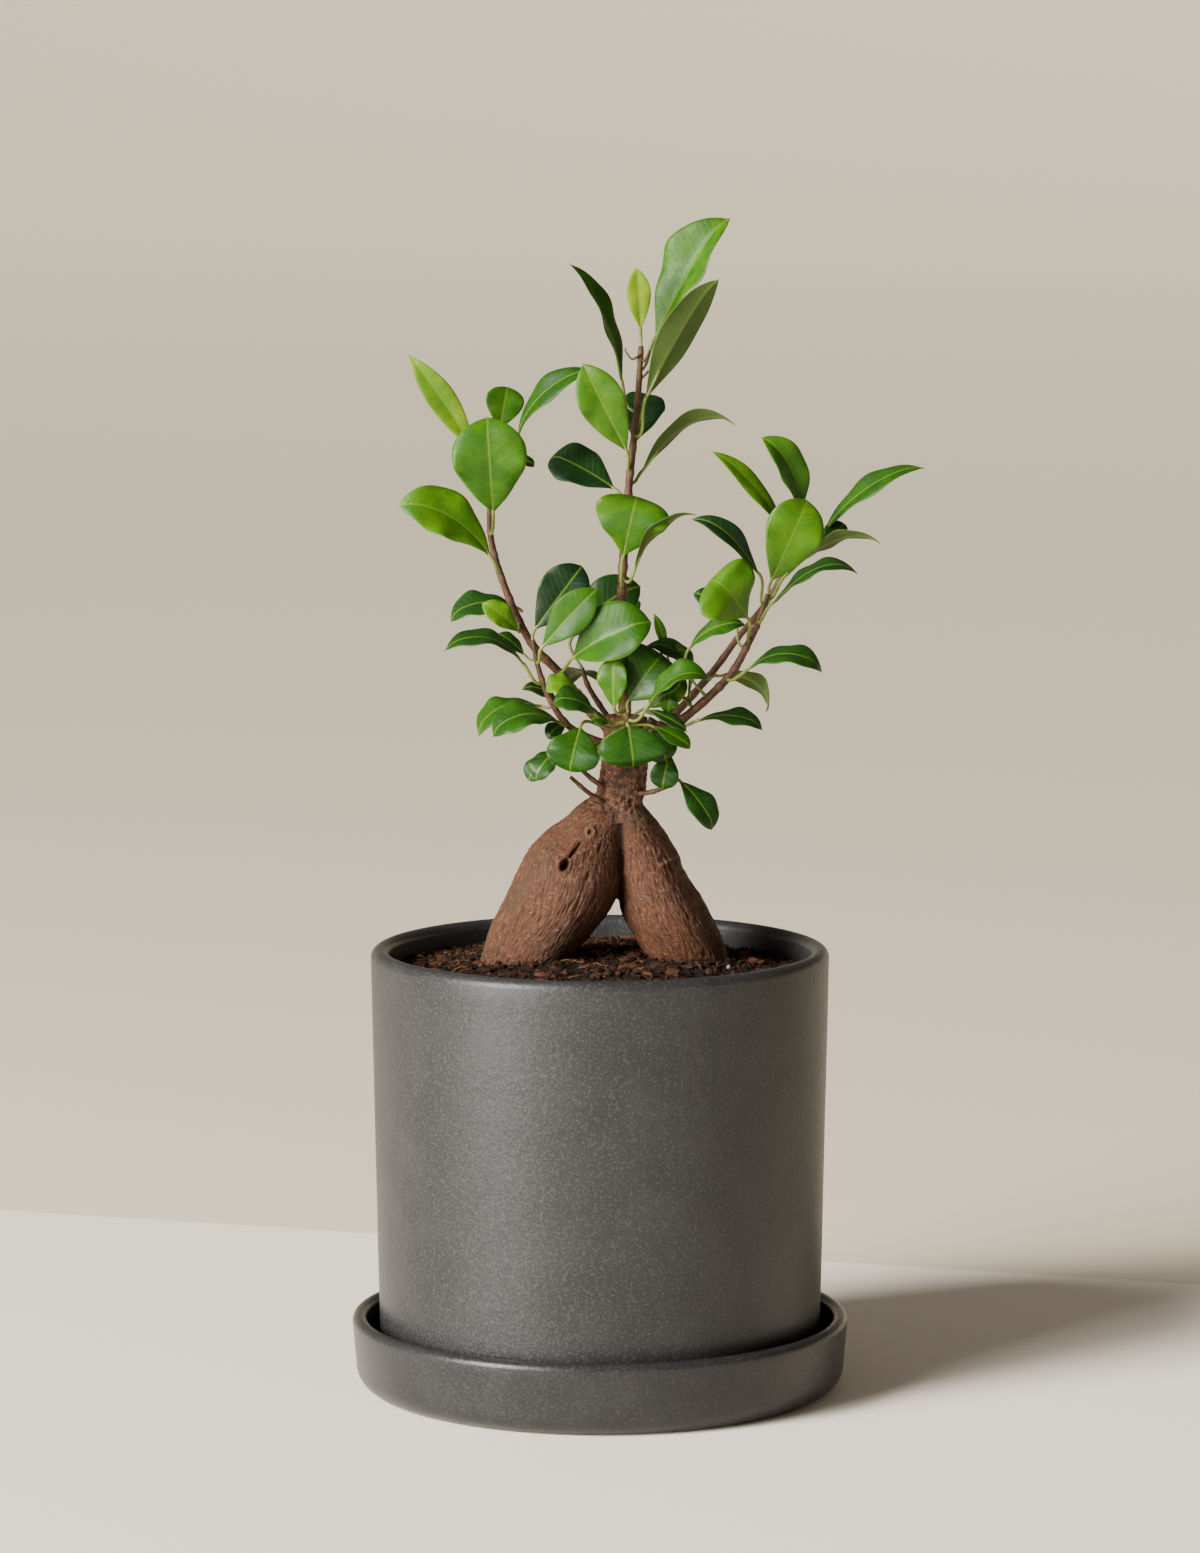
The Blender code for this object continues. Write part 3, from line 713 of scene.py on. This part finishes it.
# stems
stemPlan = {
    # centre line, then thickness at the start and at the end
    "leader_stem": ([(9, 2, 240), (8, 1, 262), (8, 0, 293), (10.4, -1, 327), (13.3, -1, 355),
                     (14.6, 0, 376)], 4.2, 1.9),
    "left_main_stem": ([(6, 0, 236), (-6, 0, 248), (-14.4, 0, 259), (-24.5, -1, 270), (-32.4, -1, 286),
                        (-38.5, 0, 305), (-39, 2, 320), (-35, 4, 336)], 3.8, 1.7),
    "left_side_stem": ([(7, -3, 232), (-10, -8, 240), (-18, -9, 251), (-22, -9, 262),
                        (-24, -9, 272)], 2.8, 1.6),
    "left_thin_stem": ([(6, 4, 238), (-3.4, 8, 252), (-6.5, 8, 260)], 2.2, 1.6),
    "right_front_stem": ([(12, -2, 232), (27.4, -6, 241.5), (45.4, -8, 258), (53.3, -8, 271.5),
                          (57.5, -8, 281), (59.8, -7, 288)], 3.6, 1.8),
    "right_back_stem": ([(12, 3, 234), (25.6, 7, 242.5), (39.6, 9, 257.5), (49, 10, 270), (60, 11, 284),
                         (70, 10, 302)], 3.2, 1.7),
    "rear_stem": ([(9, 4, 236), (10, 16, 247), (11, 26, 259), (9, 31, 270)], 3.2, 1.7),
    "front_stem": ([(9.5, -3, 234), (9.5, -13, 242), (10, -16, 247)], 2.8, 1.8),
    "low_left_twig": ([(6, -3, 215), (-3, -8, 222), (-9, -11, 228)], 2.0, 1.5),
    "low_right_twig": ([(10, -4, 216), (18, -7, 217), (25, -12, 220)], 2.0, 1.5),
}
stemLook = {"edges": 16, "nodeGap": 8.5, "nodeSwell": 0.20, "nodeWide": 0.8, "unevenness": 0.16}
budPlan = {
    # small growths: line, then radius at the start and at the end
    "neck_stub": ([(12, -3, 235), (16.5, -5, 239), (19, -6, 243)], 2.2, 1.7),
    "second_low_twig": ([(4, -5, 211), (-4, -9, 217), (-10.5, -12, 223)], 1.0, 0.7),
    "hooked_bud": ([(14.4, -1, 373), (11.5, -2, 371.5), (9.3, -2, 374), (9, -2, 375.5)], 0.45, 0.2),
    "stalk_stub_1": ([(14.4, 0, 370), (16.6, -1, 372), (17.6, -1, 374.5)], 0.6, 0.45),
    "stalk_stub_2": ([(13.8, 0, 364), (16.2, -1, 366), (17.2, -1, 367.5)], 0.6, 0.4),
}


def stemMaterial():
    # young bark, brown low down and greener at the tips, with pale leaf scars
    made, tree, shader = newMaterial("youngBark")
    place = objectPlace(tree)
    grain = cloud(tree, place, 520, 5, 0.65)
    colour = ramp(tree, grain, ((0.25, (0.020, 0.0074, 0.0039)), (0.5, (0.062, 0.0254, 0.0127)),
                                (0.75, (0.118, 0.0601, 0.0324))))
    young = fade(tree, own(tree, "along"), 0.45, 1.0, 0.0, 0.6)
    colour = mixColour(tree, young, colour, (0.046, 0.0347, 0.0099))
    colour = mixColour(tree, times(tree, own(tree, "node"), 0.5), colour, (0.124, 0.0694, 0.0374))
    fillInputs(tree, shader, {"Base Color": colour, "Roughness": 0.6, "Specular IOR Level": 0.25,
                              "Normal": bump(tree, grain, 0.6, 0.0004)})
    return made


def makeShoot(name, points, thick, thin, finish):
    # a knobbly tube with a swelling at every node; thick and thin are radii
    look = stemLook
    line = smoothLine(points, 16)
    last = len(line) - 1
    radii, alongs, nodes = [], [], []
    walked = random.Random(name).uniform(0, look["nodeGap"])
    for i, point in enumerate(line):
        walked += (point - line[max(0, i - 1)]).length
        off = abs((walked % look["nodeGap"]) - look["nodeGap"] / 2)
        node = math.exp(-(off / look["nodeWide"]) ** 2)
        radii.append((thick + (thin - thick) * i / last) * (1 + look["nodeSwell"] * node))
        alongs += [i / last] * look["edges"]
        nodes += [node] * look["edges"]
    ringed = tubePoints(line, radii, look["edges"])
    shaped = []
    for i, point in enumerate(ringed):
        centre = line[i // look["edges"]]
        uneven = look["unevenness"] * thick / 2 * noise.noise(point * 0.9)
        shaped.append(point + (point - centre).normalized() * uneven)
    faces = ringFaces(0, len(line), look["edges"])
    return buildPiece(name, shaped, faces, [finish], marks={"along": alongs, "node": nodes})


def makeStems():
    finish = stemMaterial()
    for name, (points, thick, thin) in stemPlan.items():
        piece = makeShoot("fine_" + name, points, thick / 2, thin / 2, finish)
        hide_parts(name)
    for name, (points, thick, thin) in budPlan.items():
        makeShoot(name, points, thick, thin, finish)


makeStems()
print("stems are drawn")


# leaves

# one line per leaf: height on the stem, base and tip of the blade, width, the way it faces,
# arch, fold in degrees and tint, 0 for young lime green and 1 for old dark green;
# some bend sideways, curl at the tip or are fuller towards the tip
leafPlan = {
    "leader_stem": [
        (380, (14.4, -1, 382), (13, -4, 404), 9, (0.1, -1, 0.2), 1, 15, 0.05),
        (366, (19.8, 12, 379), (44, 6, 422.5), 26, (-0.75, -0.62, 0.1), 1, 32, 0.38),
        (344, (16.2, -3, 357.5), (41.4, -7, 401.5), 15.5, (-0.35, 0.8, 0.35), 2.5, 12, 0.62),
        (352, (8, 2, 363), (-9.5, -3, 406.5), 13, (0.85, -0.42, 0.25), 3, 25, 0.60),
        (331, (9.5, -5, 339), (-6, -12, 370.5), 17, (-0.15, -1, 0.25), 2, 12, 0.38),
        (336, (12.5, 7, 341.5), (17.5, 24, 359.5), 16, (0, -0.75, 0.65), 2, 8, 0.92),
        (320, (5, 5, 325), (-18.5, 14, 337), 18, (-0.3, -0.6, 0.7), 2, 10, 0.9),
        (325, (14.6, 2, 331), (49, -4, 350), 13, (-0.4, 0.5, 0.77), 8, 20, 0.65, {"curl": 0.3}),
        (288, (8.2, -9, 301.5), (13.5, -14, 325.5), 27,
         (0, -1, 0.25), 4, 5, 0.42, {"curl": 0.5, "full": 0.45}),
        (292, (12, -15, 297), (34, -20, 319), 10, (-0.75, 0.45, 0.5), 5, 15, 0.6),
    ],
    "left_main_stem": [
        (328, (-44.5, 1, 337), (-68, -6, 373), 10.5, (-0.3, -0.85, 0.4), 1, 15, 0.15, {"bend": 1.5}),
        (340, (-29.5, 4, 344), (-3, -6, 369), 12, (-0.5, -0.6, 0.6), 6, 12, 0.6),
        (308, (-38, -8, 317.5), (-40, -18, 352), 27, (0, -1, 0.3), 3, 8, 0.42),
        (294, (-39, -14, 302.5), (-71, -22, 322), 19,
         (0.1, -0.85, 0.5), 2, 10, 0.35, {"curl": 0.3, "bend": 4.5}),
        (283, (-29, 8, 281), (-55, 4, 278.5), 15, (0, -0.45, 0.85), 5, 10, 0.75),
        (259, (-9.5, -12, 266), (18, -24, 281), 23, (-0.1, -0.9, 0.4), 4, 20, 0.55),
    ],
    "left_side_stem": [
        (256, (-27, -12, 263.5), (-56, -18, 270.5), 13, (0, -0.35, 0.9), 7, 10, 0.78),
        (274, (-23, -9, 276), (-6, -10, 299), 18, (0.2, -0.9, 0.35), 2, 10, 0.95),
        (263, (-20.5, -15, 270), (-1, -21, 291.5), 14, (0.2, -0.85, 0.45), 2, 10, 0.5),
        (248, (-22, -6, 248), (-45, -12, 238.5), 14, (0, -0.4, 0.9), 6, 8, 0.6),
        (241, (-14.5, -14, 243), (-39.5, -23, 240), 16, (0.05, -0.5, 0.85), 6, 8, 0.62),
    ],
    "left_thin_stem": [
        (262, (-10, 11, 271), (15, 13, 290), 18, (-0.2, -0.95, 0.2), 2, 6, 0.78, {"bend": -2}),
    ],
    "right_front_stem": [
        (271, (52.4, -18, 280.5), (38, -25, 296.5), 27,
         (0.1, -0.9, 0.4), 4, 8, 0.3, {"curl": 0.6, "full": 0.4}),
        (290, (61, -8, 293), (74.5, -4, 322.5), 21, (0.15, -0.95, 0.3), 2, 8, 0.3),
        (284, (56.5, -14, 296), (32, -20, 317), 10, (-0.4, -0.5, 0.8), 5, 20, 0.9, {"curl": 0.5}),
        (278, (61, -15, 285.5), (92, -18, 298), 12, (-0.3, -0.3, 0.9), 6, 12, 0.8, {"curl": 0.4}),
        (286, (66, -1, 294), (100.5, -6, 308), 13, (-0.15, 0.35, 0.9), 6, 10, 0.6, {"curl": 0.2}),
        (257, (53, -15, 262.5), (80, -21, 263), 14, (0, -0.45, 0.9), 6, 8, 0.75),
        (246, (32, -4, 252), (16, -6, 271), 12, (0.5, -0.5, 0.7), 8, 12, 0.85),
    ],
    "right_back_stem": [
        (295, (66, 5, 309), (40, -1, 339.5), 8.5, (0.3, -0.75, 0.6), 4, 12, 0.3),
        (304, (71.5, 9, 315), (58.4, 3, 344), 14, (0.45, -0.85, 0.2), 2, 24, 0.45, {"bend": 3.5}),
        (300, (80, 8, 309), (115.5, 4, 334), 12, (-0.4, -0.5, 0.75), 5, 12, 0.58),
        (256, (42, 2, 258), (61, -8, 246), 11, (-0.1, 0.7, 0.7), 7, 10, 0.5),
    ],
    "rear_stem": [
        (262, (0, 36, 265), (-15, 50, 281), 14, (0.3, 0.3, 0.9), 3, 10, 0.7),
        (272, (8, 37, 270), (6, 53, 283), 15, (0, 0.5, 0.8), 3, 10, 0.6),
        (253, (18, 29, 251), (31, 46, 255), 15, (0.2, 0.4, 0.9), 4, 10, 0.7),
        (250, (1, 28, 252), (-14, 45, 250), 15, (-0.2, 0.4, 0.9), 5, 10, 0.8),
        (243, (13, 24, 238), (18, 42, 229), 16, (0.1, 0.8, 0.5), 3, 8, 0.75),
    ],
    "front_stem": [
        (249, (10, -17, 251), (23, -15, 268.5), 25, (-0.1, -0.95, 0.35), 2, 10, 0.62),
        (244, (17, -24, 250), (39.5, -29, 261), 14, (-0.3, -0.5, 0.85), 6, 25, 0.5, {"curl": 0.3}),
        (245.5, (5, -18, 248.5), (5, -20, 267), 12, (-0.4, -0.9, 0.2), 1, 15, 0.35),
        (240.5, (-7, -25, 242.5), (-11, -32, 227), 19.5, (0, -0.9, 0.45), 2, 8, 0.68),
        (239, (10, -25, 243), (12, -33, 229), 25, (0, -0.85, 0.5), 2, 8, 0.66),
        (243, (-2, -20, 247), (-17, -25, 252.5), 14, (0.1, -0.6, 0.8), 3, 8, 0.7),
    ],
    "low_left_twig": [
        (230, (-15, -14, 233), (-23.5, -19, 223), 10.5, (-0.3, -0.8, 0.5), 2, 10, 0.7),
    ],
    "low_right_twig": [
        (221, (28.5, -15, 222), (41, -21, 205.5), 12.5, (0.5, -0.8, 0.4), 2, 8, 0.8),
    ],
}
# leaves too small for the plain shapes, in the same form
smallLeafPlan = {
    "left_main_stem": [
        (334, (-36, 12, 346), (-33, 14, 361.5), 14, (0.1, -0.95, 0.3), 1, 8, 0.45),
        (334, (-31, 2, 336), (-23, 0, 333.5), 5, (0, -0.7, 0.7), 1, 8, 0.9),
        (277, (-29, -5, 274.5), (-42, -9, 285.5), 9, (0.2, -0.9, 0.4), 2, 10, 0.25),
        (254, (-7.6, -14, 254.5), (-20, -18, 255.5), 11, (0, -0.6, 0.8), 3, 10, 0.25),
    ],
    "left_side_stem": [
        (249, (-15, -4, 249.5), (-28, -7, 255), 8, (0, -0.5, 0.85), 2, 10, 0.8),
        (264, (-27, -3, 266), (-37, -2, 274), 7, (0, -0.6, 0.8), 1, 8, 0.8),
        (241, (-12, -8, 243), (-19, -12, 237), 7, (0, -0.7, 0.7), 1, 8, 0.85),
    ],
    "right_front_stem": [
        (268, (47, -4, 281), (33.5, -6, 289), 9, (0.1, -0.8, 0.5), 1, 8, 0.85),
        (250, (31.7, -14, 269.5), (52, -17, 279), 9, (-0.3, -0.6, 0.7), 4, 10, 0.6),
        (241, (35, -12, 243.5), (58.5, -18, 242), 12, (0, -0.35, 0.9), 3, 8, 0.85),
        (246, (24, -2, 266), (19.4, -3, 281), 4, (0.2, -0.9, 0.3), 1, 12, 0.4),
        (246, (22, -7, 267), (31, -8, 268), 5, (0, -0.8, 0.6), 1, 8, 0.5),
        (241, (17, -4, 247), (31, -6, 258), 12, (-0.2, -0.9, 0.3), 2, 10, 0.35),
        (241, (24, -10, 245.5), (25, -12, 252), 7, (0, -0.9, 0.4), 1, 8, 0.5),
        (239, (24.8, -14, 231.5), (22, -18, 219), 10.5, (0, -0.8, 0.6), 2, 8, 0.75),
        (239, (18, -12, 239), (24, -18, 229), 12, (0, -0.8, 0.6), 2, 8, 0.8),
    ],
    "right_back_stem": [
        (300, (78, 6, 303), (88.5, 10, 312.5), 8, (0, -0.9, 0.4), 2, 10, 0.7),
    ],
    "front_stem": [
        (244.5, (7.5, -16, 249), (5, -17, 260.5), 4, (0.2, -0.9, 0.3), 1, 12, 0.15),
        (245, (17, -14, 247.5), (31.3, -18, 240.5), 6, (0, -0.6, 0.8), 1, 8, 0.85),
        (242, (19, -14, 241.5), (32.6, -18, 234.5), 8, (0, -0.6, 0.8), 1, 8, 0.5),
        (241, (1, -14, 236), (-7, -17, 226), 8, (0, -0.8, 0.6), 1, 8, 0.9),
        (243, (3, -17, 243), (-3, -19, 245), 6, (0, -0.7, 0.7), 1, 8, 0.5),
    ],
    "low_left_twig": [
        (227, (-17, -8, 231), (-26, -12, 221.5), 9, (-0.2, -0.8, 0.6), 2, 8, 0.72),
    ],
}
leafLook = {
    "rows": 30, "columns": 16, "thick": 0.40, "stalkRadius": 0.62, "stalkEdges": 10,
    "groove": 0.20, "rib": 0.50, "wave": 0.12, "cup": 0.10, "droop": 0.16, "twist": 9, "veinGap": 2.3,
    "topColours": ((0.0, (0.150, 0.230, 0.002)), (0.22, (0.060, 0.150, 0.002)),
                   (0.45, (0.023, 0.085, 0.002)), (0.70, (0.009, 0.042, 0.003)),
                   (1.0, (0.004, 0.017, 0.006))),
    "underColours": ((0.0, (0.13, 0.165, 0.018)), (0.5, (0.048, 0.085, 0.012)),
                     (1.0, (0.024, 0.046, 0.013))),
    "topRoughness": (0.34, 0.46), "underRoughness": 0.60,
}


def veinLines(tree, sharp):
    # side veins leave the midrib forwards and fade out before the edge
    across, along = own(tree, "leafAcross"), own(tree, "leafAlong")
    phase = maths(tree, "SUBTRACT", along, times(tree, across, 0.62))
    wave = maths(tree, "COSINE", times(tree, phase, turn / leafLook["veinGap"]))
    strong = fade(tree, own(tree, "leafEdge"), 0.95, 0.6)
    return times(tree, fade(tree, wave, sharp, 1.0), strong)


def leafFinish(name, colours, veinColour, veinShare, ribColour, ribWide, edgeShare):
    made, tree, shader = newMaterial(name)
    place = objectPlace(tree)
    mottle = cloud(tree, place, 150, 4, 0.6)
    shade = maths(tree, "ADD", own(tree, "leafTint"), fade(tree, mottle, 0.3, 0.7, -0.09, 0.09))
    colour = ramp(tree, shade, colours)
    veins = veinLines(tree, 0.80)
    colour = mixColour(tree, times(tree, veins, veinShare), colour, veinColour)
    rib = fade(tree, own(tree, "leafAcross"), ribWide, ribWide * 0.35)
    colour = mixColour(tree, times(tree, rib, 0.55), colour, ribColour)
    margin = fade(tree, own(tree, "leafEdge"), 0.94, 1.0)
    colour = mixColour(tree, times(tree, margin, edgeShare), colour, ribColour)
    height = maths(tree, "ADD", times(tree, veins, -0.6), cloud(tree, place, 420, 3, 0.6))
    fillInputs(tree, shader, {"Base Color": colour, "Specular IOR Level": 0.20, "Subsurface Weight": 0.12,
                              "Subsurface Radius": (0.4, 0.9, 0.15), "Subsurface Scale": 0.001,
                              "Normal": bump(tree, height, 0.20, 0.0004)})
    return tree, shader, mottle, made


def leafMaterials():
    look = leafLook
    tree, shader, mottle, top = leafFinish("leafTop", look["topColours"], (0.06, 0.14, 0.012), 0.14,
                                           (0.12, 0.19, 0.018), 0.50, 0.40)
    tree.links.new(fade(tree, mottle, 0.3, 0.7, *look["topRoughness"]), shader.inputs["Roughness"])
    tree, shader, mottle, under = leafFinish("leafUnderside", look["underColours"],
                                             (0.03, 0.055, 0.008), 0.25, (0.12, 0.165, 0.03), 0.9, 0.3)
    shader.inputs["Roughness"].default_value = look["underRoughness"]
    stalk, tree, shader = newMaterial("leafStalk")
    tone = cloud(tree, objectPlace(tree), 300, 3)
    colour = ramp(tree, tone, ((0.3, (0.09, 0.115, 0.015)), (0.7, (0.17, 0.21, 0.03))))
    fillInputs(tree, shader, {"Base Color": colour, "Roughness": 0.45})
    return [top, under, stalk]


def stemPlace(name, height):
    points, thick, thin = stemPlan[name]
    line = smoothLine(points, 12)
    index = next((i for i, point in enumerate(line) if point.z >= height), len(line) - 1)
    radius = (thick + (thin - thick) * index / (len(line) - 1)) / 2
    return line[index], directionsOf(line)[index], radius


def halfWidth(share, width, long, full):
    # widest past the middle, rounder on broad leaves, with a short blunt drip tip
    slim = min(1, max(0, (0.75 - width / long) / 0.5))
    body = math.sin(math.pi * min(1, share / 0.985) ** (1.22 + 0.34 * (1 - slim) + full))
    return max(0.35 * (1.2 - share), width / 2 * max(0, body) ** (0.56 + 0.24 * slim))


def bezierPoint(controls, share):
    a, b, c, d = controls
    rest = 1 - share
    return a * rest ** 3 + b * 3 * rest ** 2 * share + c * 3 * rest * share ** 2 + d * share ** 3


def makeLeaf(name, stem, plan, finishes):
    height, base, tip, width, face, arch, fold, tint = plan[:8]
    extra = plan[8] if len(plan) > 8 else {}
    look = leafLook
    rng = random.Random(name)
    base, tip, face = Vector(base), Vector(tip), Vector(face)
    reach = tip - base
    face = (face - reach * face.dot(reach) / reach.length_squared).normalized()
    side = reach.normalized().cross(face)
    lift, curl = arch / 0.75, extra.get("curl", 0)
    sway = side * extra.get("bend", 0) / 0.75
    controls = (base, base + reach / 3 + face * lift * (1 - curl) + sway,
                base + reach * 2 / 3 + face * lift * (1 + curl) + sway, tip)

    # blade: one top sheet and one lower sheet, sewn together round the edge
    rows, columns = look["rows"], look["columns"]
    shares = [1 - (1 - row / rows) ** 1.4 for row in range(rows + 1)]    # closer rows at the tip
    line = [bezierPoint(controls, share) for share in shares]
    directions = directionsOf(line)
    sides = carriedSides(directions, side)
    slope = math.radians(fold)
    waves, phase, phase2 = rng.uniform(1.3, 2.6), rng.uniform(0, turn), rng.uniform(0, turn)
    twist = math.radians(rng.uniform(-look["twist"], look["twist"]))
    upper, lower = [], []
    marks = {"leafTint": [], "leafAcross": [], "leafAlong": [], "leafEdge": []}
    walked = 0
    shade = min(1, max(0, tint + rng.uniform(-0.03, 0.03)))
    for row, (share, point, direction, across) in enumerate(zip(shares, line, directions, sides)):
        walked += (point - line[max(0, row - 1)]).length
        spun = Matrix.Rotation(twist * (share - 0.4), 3, direction)
        across = spun @ across
        up = across.cross(direction)
        point = point - up * look["droop"] * width * max(0, (share - 0.78) / 0.22) ** 2
        half = halfWidth(share, width, reach.length, extra.get("full", 0))
        for column in range(columns + 1):
            place = 2 * column / columns - 1
            place = math.copysign(abs(place) ** 0.9, place)
            wide = half * place
            raised = (math.hypot(wide, 0.9) - 0.9) * math.sin(slope)
            ripple = math.sin(turn * waves * share + (phase if place > 0 else phase2))
            raised += look["wave"] * half * place ** 2 * ripple * math.sin(math.pi * min(1, share * 1.05))
            raised -= look["cup"] * half * place ** 4
            middle = point + across * wide * math.cos(slope) + up * raised
            thick = look["thick"] * (1 - 0.65 * place ** 4)
            groove = look["groove"] * math.exp(-(wide / 0.55) ** 2) * (1 - 0.6 * share)
            rib = look["rib"] * math.exp(-(wide / 0.65) ** 2) * (1 - 0.75 * share)
            upper.append(middle + up * (thick / 2 - groove))
            lower.append(middle - up * (thick / 2 + rib))
            marks["leafAcross"].append(abs(wide))
            marks["leafAlong"].append(walked)
            marks["leafEdge"].append(abs(place))
            marks["leafTint"].append(shade)
    for values in marks.values():
        values += values[:]
    points = upper + lower
    span = columns + 1
    below = len(upper)
    faces, slots = [], []
    for row in range(rows):
        for column in range(columns):
            a = row * span + column
            faces.append((a, a + span, a + span + 1, a + 1))
            faces.append((below + a, below + a + 1, below + a + span + 1, below + a + span))
            slots += [0, 1]
    rim = list(range(span))
    rim += [row * span + columns for row in range(1, rows + 1)]
    rim += [rows * span + column for column in range(columns - 1, -1, -1)]
    rim += [row * span for row in range(rows - 1, 0, -1)]
    for a, b in zip(rim, rim[1:] + rim[:1]):
        faces.append((a, b, below + b, below + a))
        slots.append(0)

    # stalk: from inside the stem to a little way under the blade
    start, direction, radius = stemPlace(stem, height)
    if height >= stemPlan[stem][0][-1][2]:
        outward = direction
        start = start - direction * 0.8
    else:
        outward = base - start
        outward = (outward - direction * outward.dot(direction)).normalized()
        start = start + outward * radius * 0.35
    long = (base - start).length * 0.4
    leadIn = base - (controls[1] - base).normalized() * long
    stalk = list(interpolate_bezier(start, start + outward * long, leadIn, base, 12))
    stalk += [line[row] - (sides[row].cross(directions[row])) * look["thick"] for row in (1, 3, 5)]
    last = len(stalk) - 1
    radii = [look["stalkRadius"]] * (last - 2) + [look["stalkRadius"] * 0.75] * 3
    for i in range(math.ceil(last / 4)):
        radii[i] *= 1.25 - 2.2 * i / last    # thicker where it leaves the stem
    scale = min(1, 0.55 + width / 26)
    radii = [value * scale for value in radii]
    first = len(points)
    edges = look["stalkEdges"]
    points += tubePoints(stalk, radii, edges)
    stalkFaces = ringFaces(first, len(stalk), edges)
    faces += stalkFaces
    slots += [2] * len(stalkFaces)
    for values in marks.values():
        values += [0.5] * (edges * len(stalk))
    return buildPiece(name, points, faces, finishes, slots=slots, marks=marks)


def makeLeaves():
    finishes = leafMaterials()
    for kind, allPlans in (("leaf", leafPlan), ("small_leaf", smallLeafPlan)):
        for stem, plans in allPlans.items():
            for number, plan in enumerate(plans, 1):
                node = f"{stem.rsplit('_', 1)[0]}_{kind}_{number}"
                if kind == "leaf":
                    piece = makeLeaf("fine_" + node, stem, plan, finishes)
                    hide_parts(node)
                else:
                    makeLeaf(node, stem, plan, finishes)


makeLeaves()
print("leaves are grown")


# floor
floorPlan = {
    "flat": 9.0, "radius": 17.0, "rise": 3.2,    # metres: level to here, then it sweeps up
    "segments": 96,
    "near": (1.0, 0.915, 0.77),
    "behind": (0.82, 0.715, 0.545),
    "far": (1.0, 0.87, 0.66),
    "edge": 0.241, "slant": -0.306,    # where the tone changes, and how it slopes to the right
}


def makeFloor():
    # one pale sheet; a slightly deeper tone starts along a straight line behind the pot
    plan = floorPlan
    count = plan["segments"]
    points, faces = [(0, 0, 0)], []
    sweep = plan["radius"] - plan["flat"]
    radii = [3, 6] + [plan["flat"] + sweep * i / 16 for i in range(17)]
    for radius in radii:
        share = max(0, (radius - plan["flat"]) / sweep)
        points += [(x, y, plan["rise"] * share ** 2) for x, y in circle(radius, count)]
    faces += [(0, 1 + i, 1 + (i + 1) % count) for i in range(count)]
    faces += [tuple(reversed(face)) for face in ringFaces(1, len(radii), count, caps=False)]
    mesh = bpy.data.meshes.new("floor")
    mesh.from_pydata(points, [], faces)
    mesh.polygons.foreach_set("use_smooth", [True] * len(mesh.polygons))
    made, tree, shader = newMaterial("paleFloor")
    where = addNode(tree, "ShaderNodeSeparateXYZ", values={"Vector": objectPlace(tree)})
    across = times(tree, where.outputs["X"], plan["slant"])
    beyond = maths(tree, "SUBTRACT", where.outputs["Y"], across)
    backdrop = mixColour(tree, fade(tree, beyond, 0.5, 9.0), plan["behind"], plan["far"])
    share = fade(tree, beyond, plan["edge"] - 0.002, plan["edge"] + 0.002)
    fillInputs(tree, shader, {"Base Color": mixColour(tree, share, plan["near"], backdrop),
                              "Roughness": 0.8, "Specular IOR Level": 0.1})
    mesh.materials.append(made)
    floor = bpy.data.objects.new("floor", mesh)
    bpy.context.collection.objects.link(floor)


makeFloor()
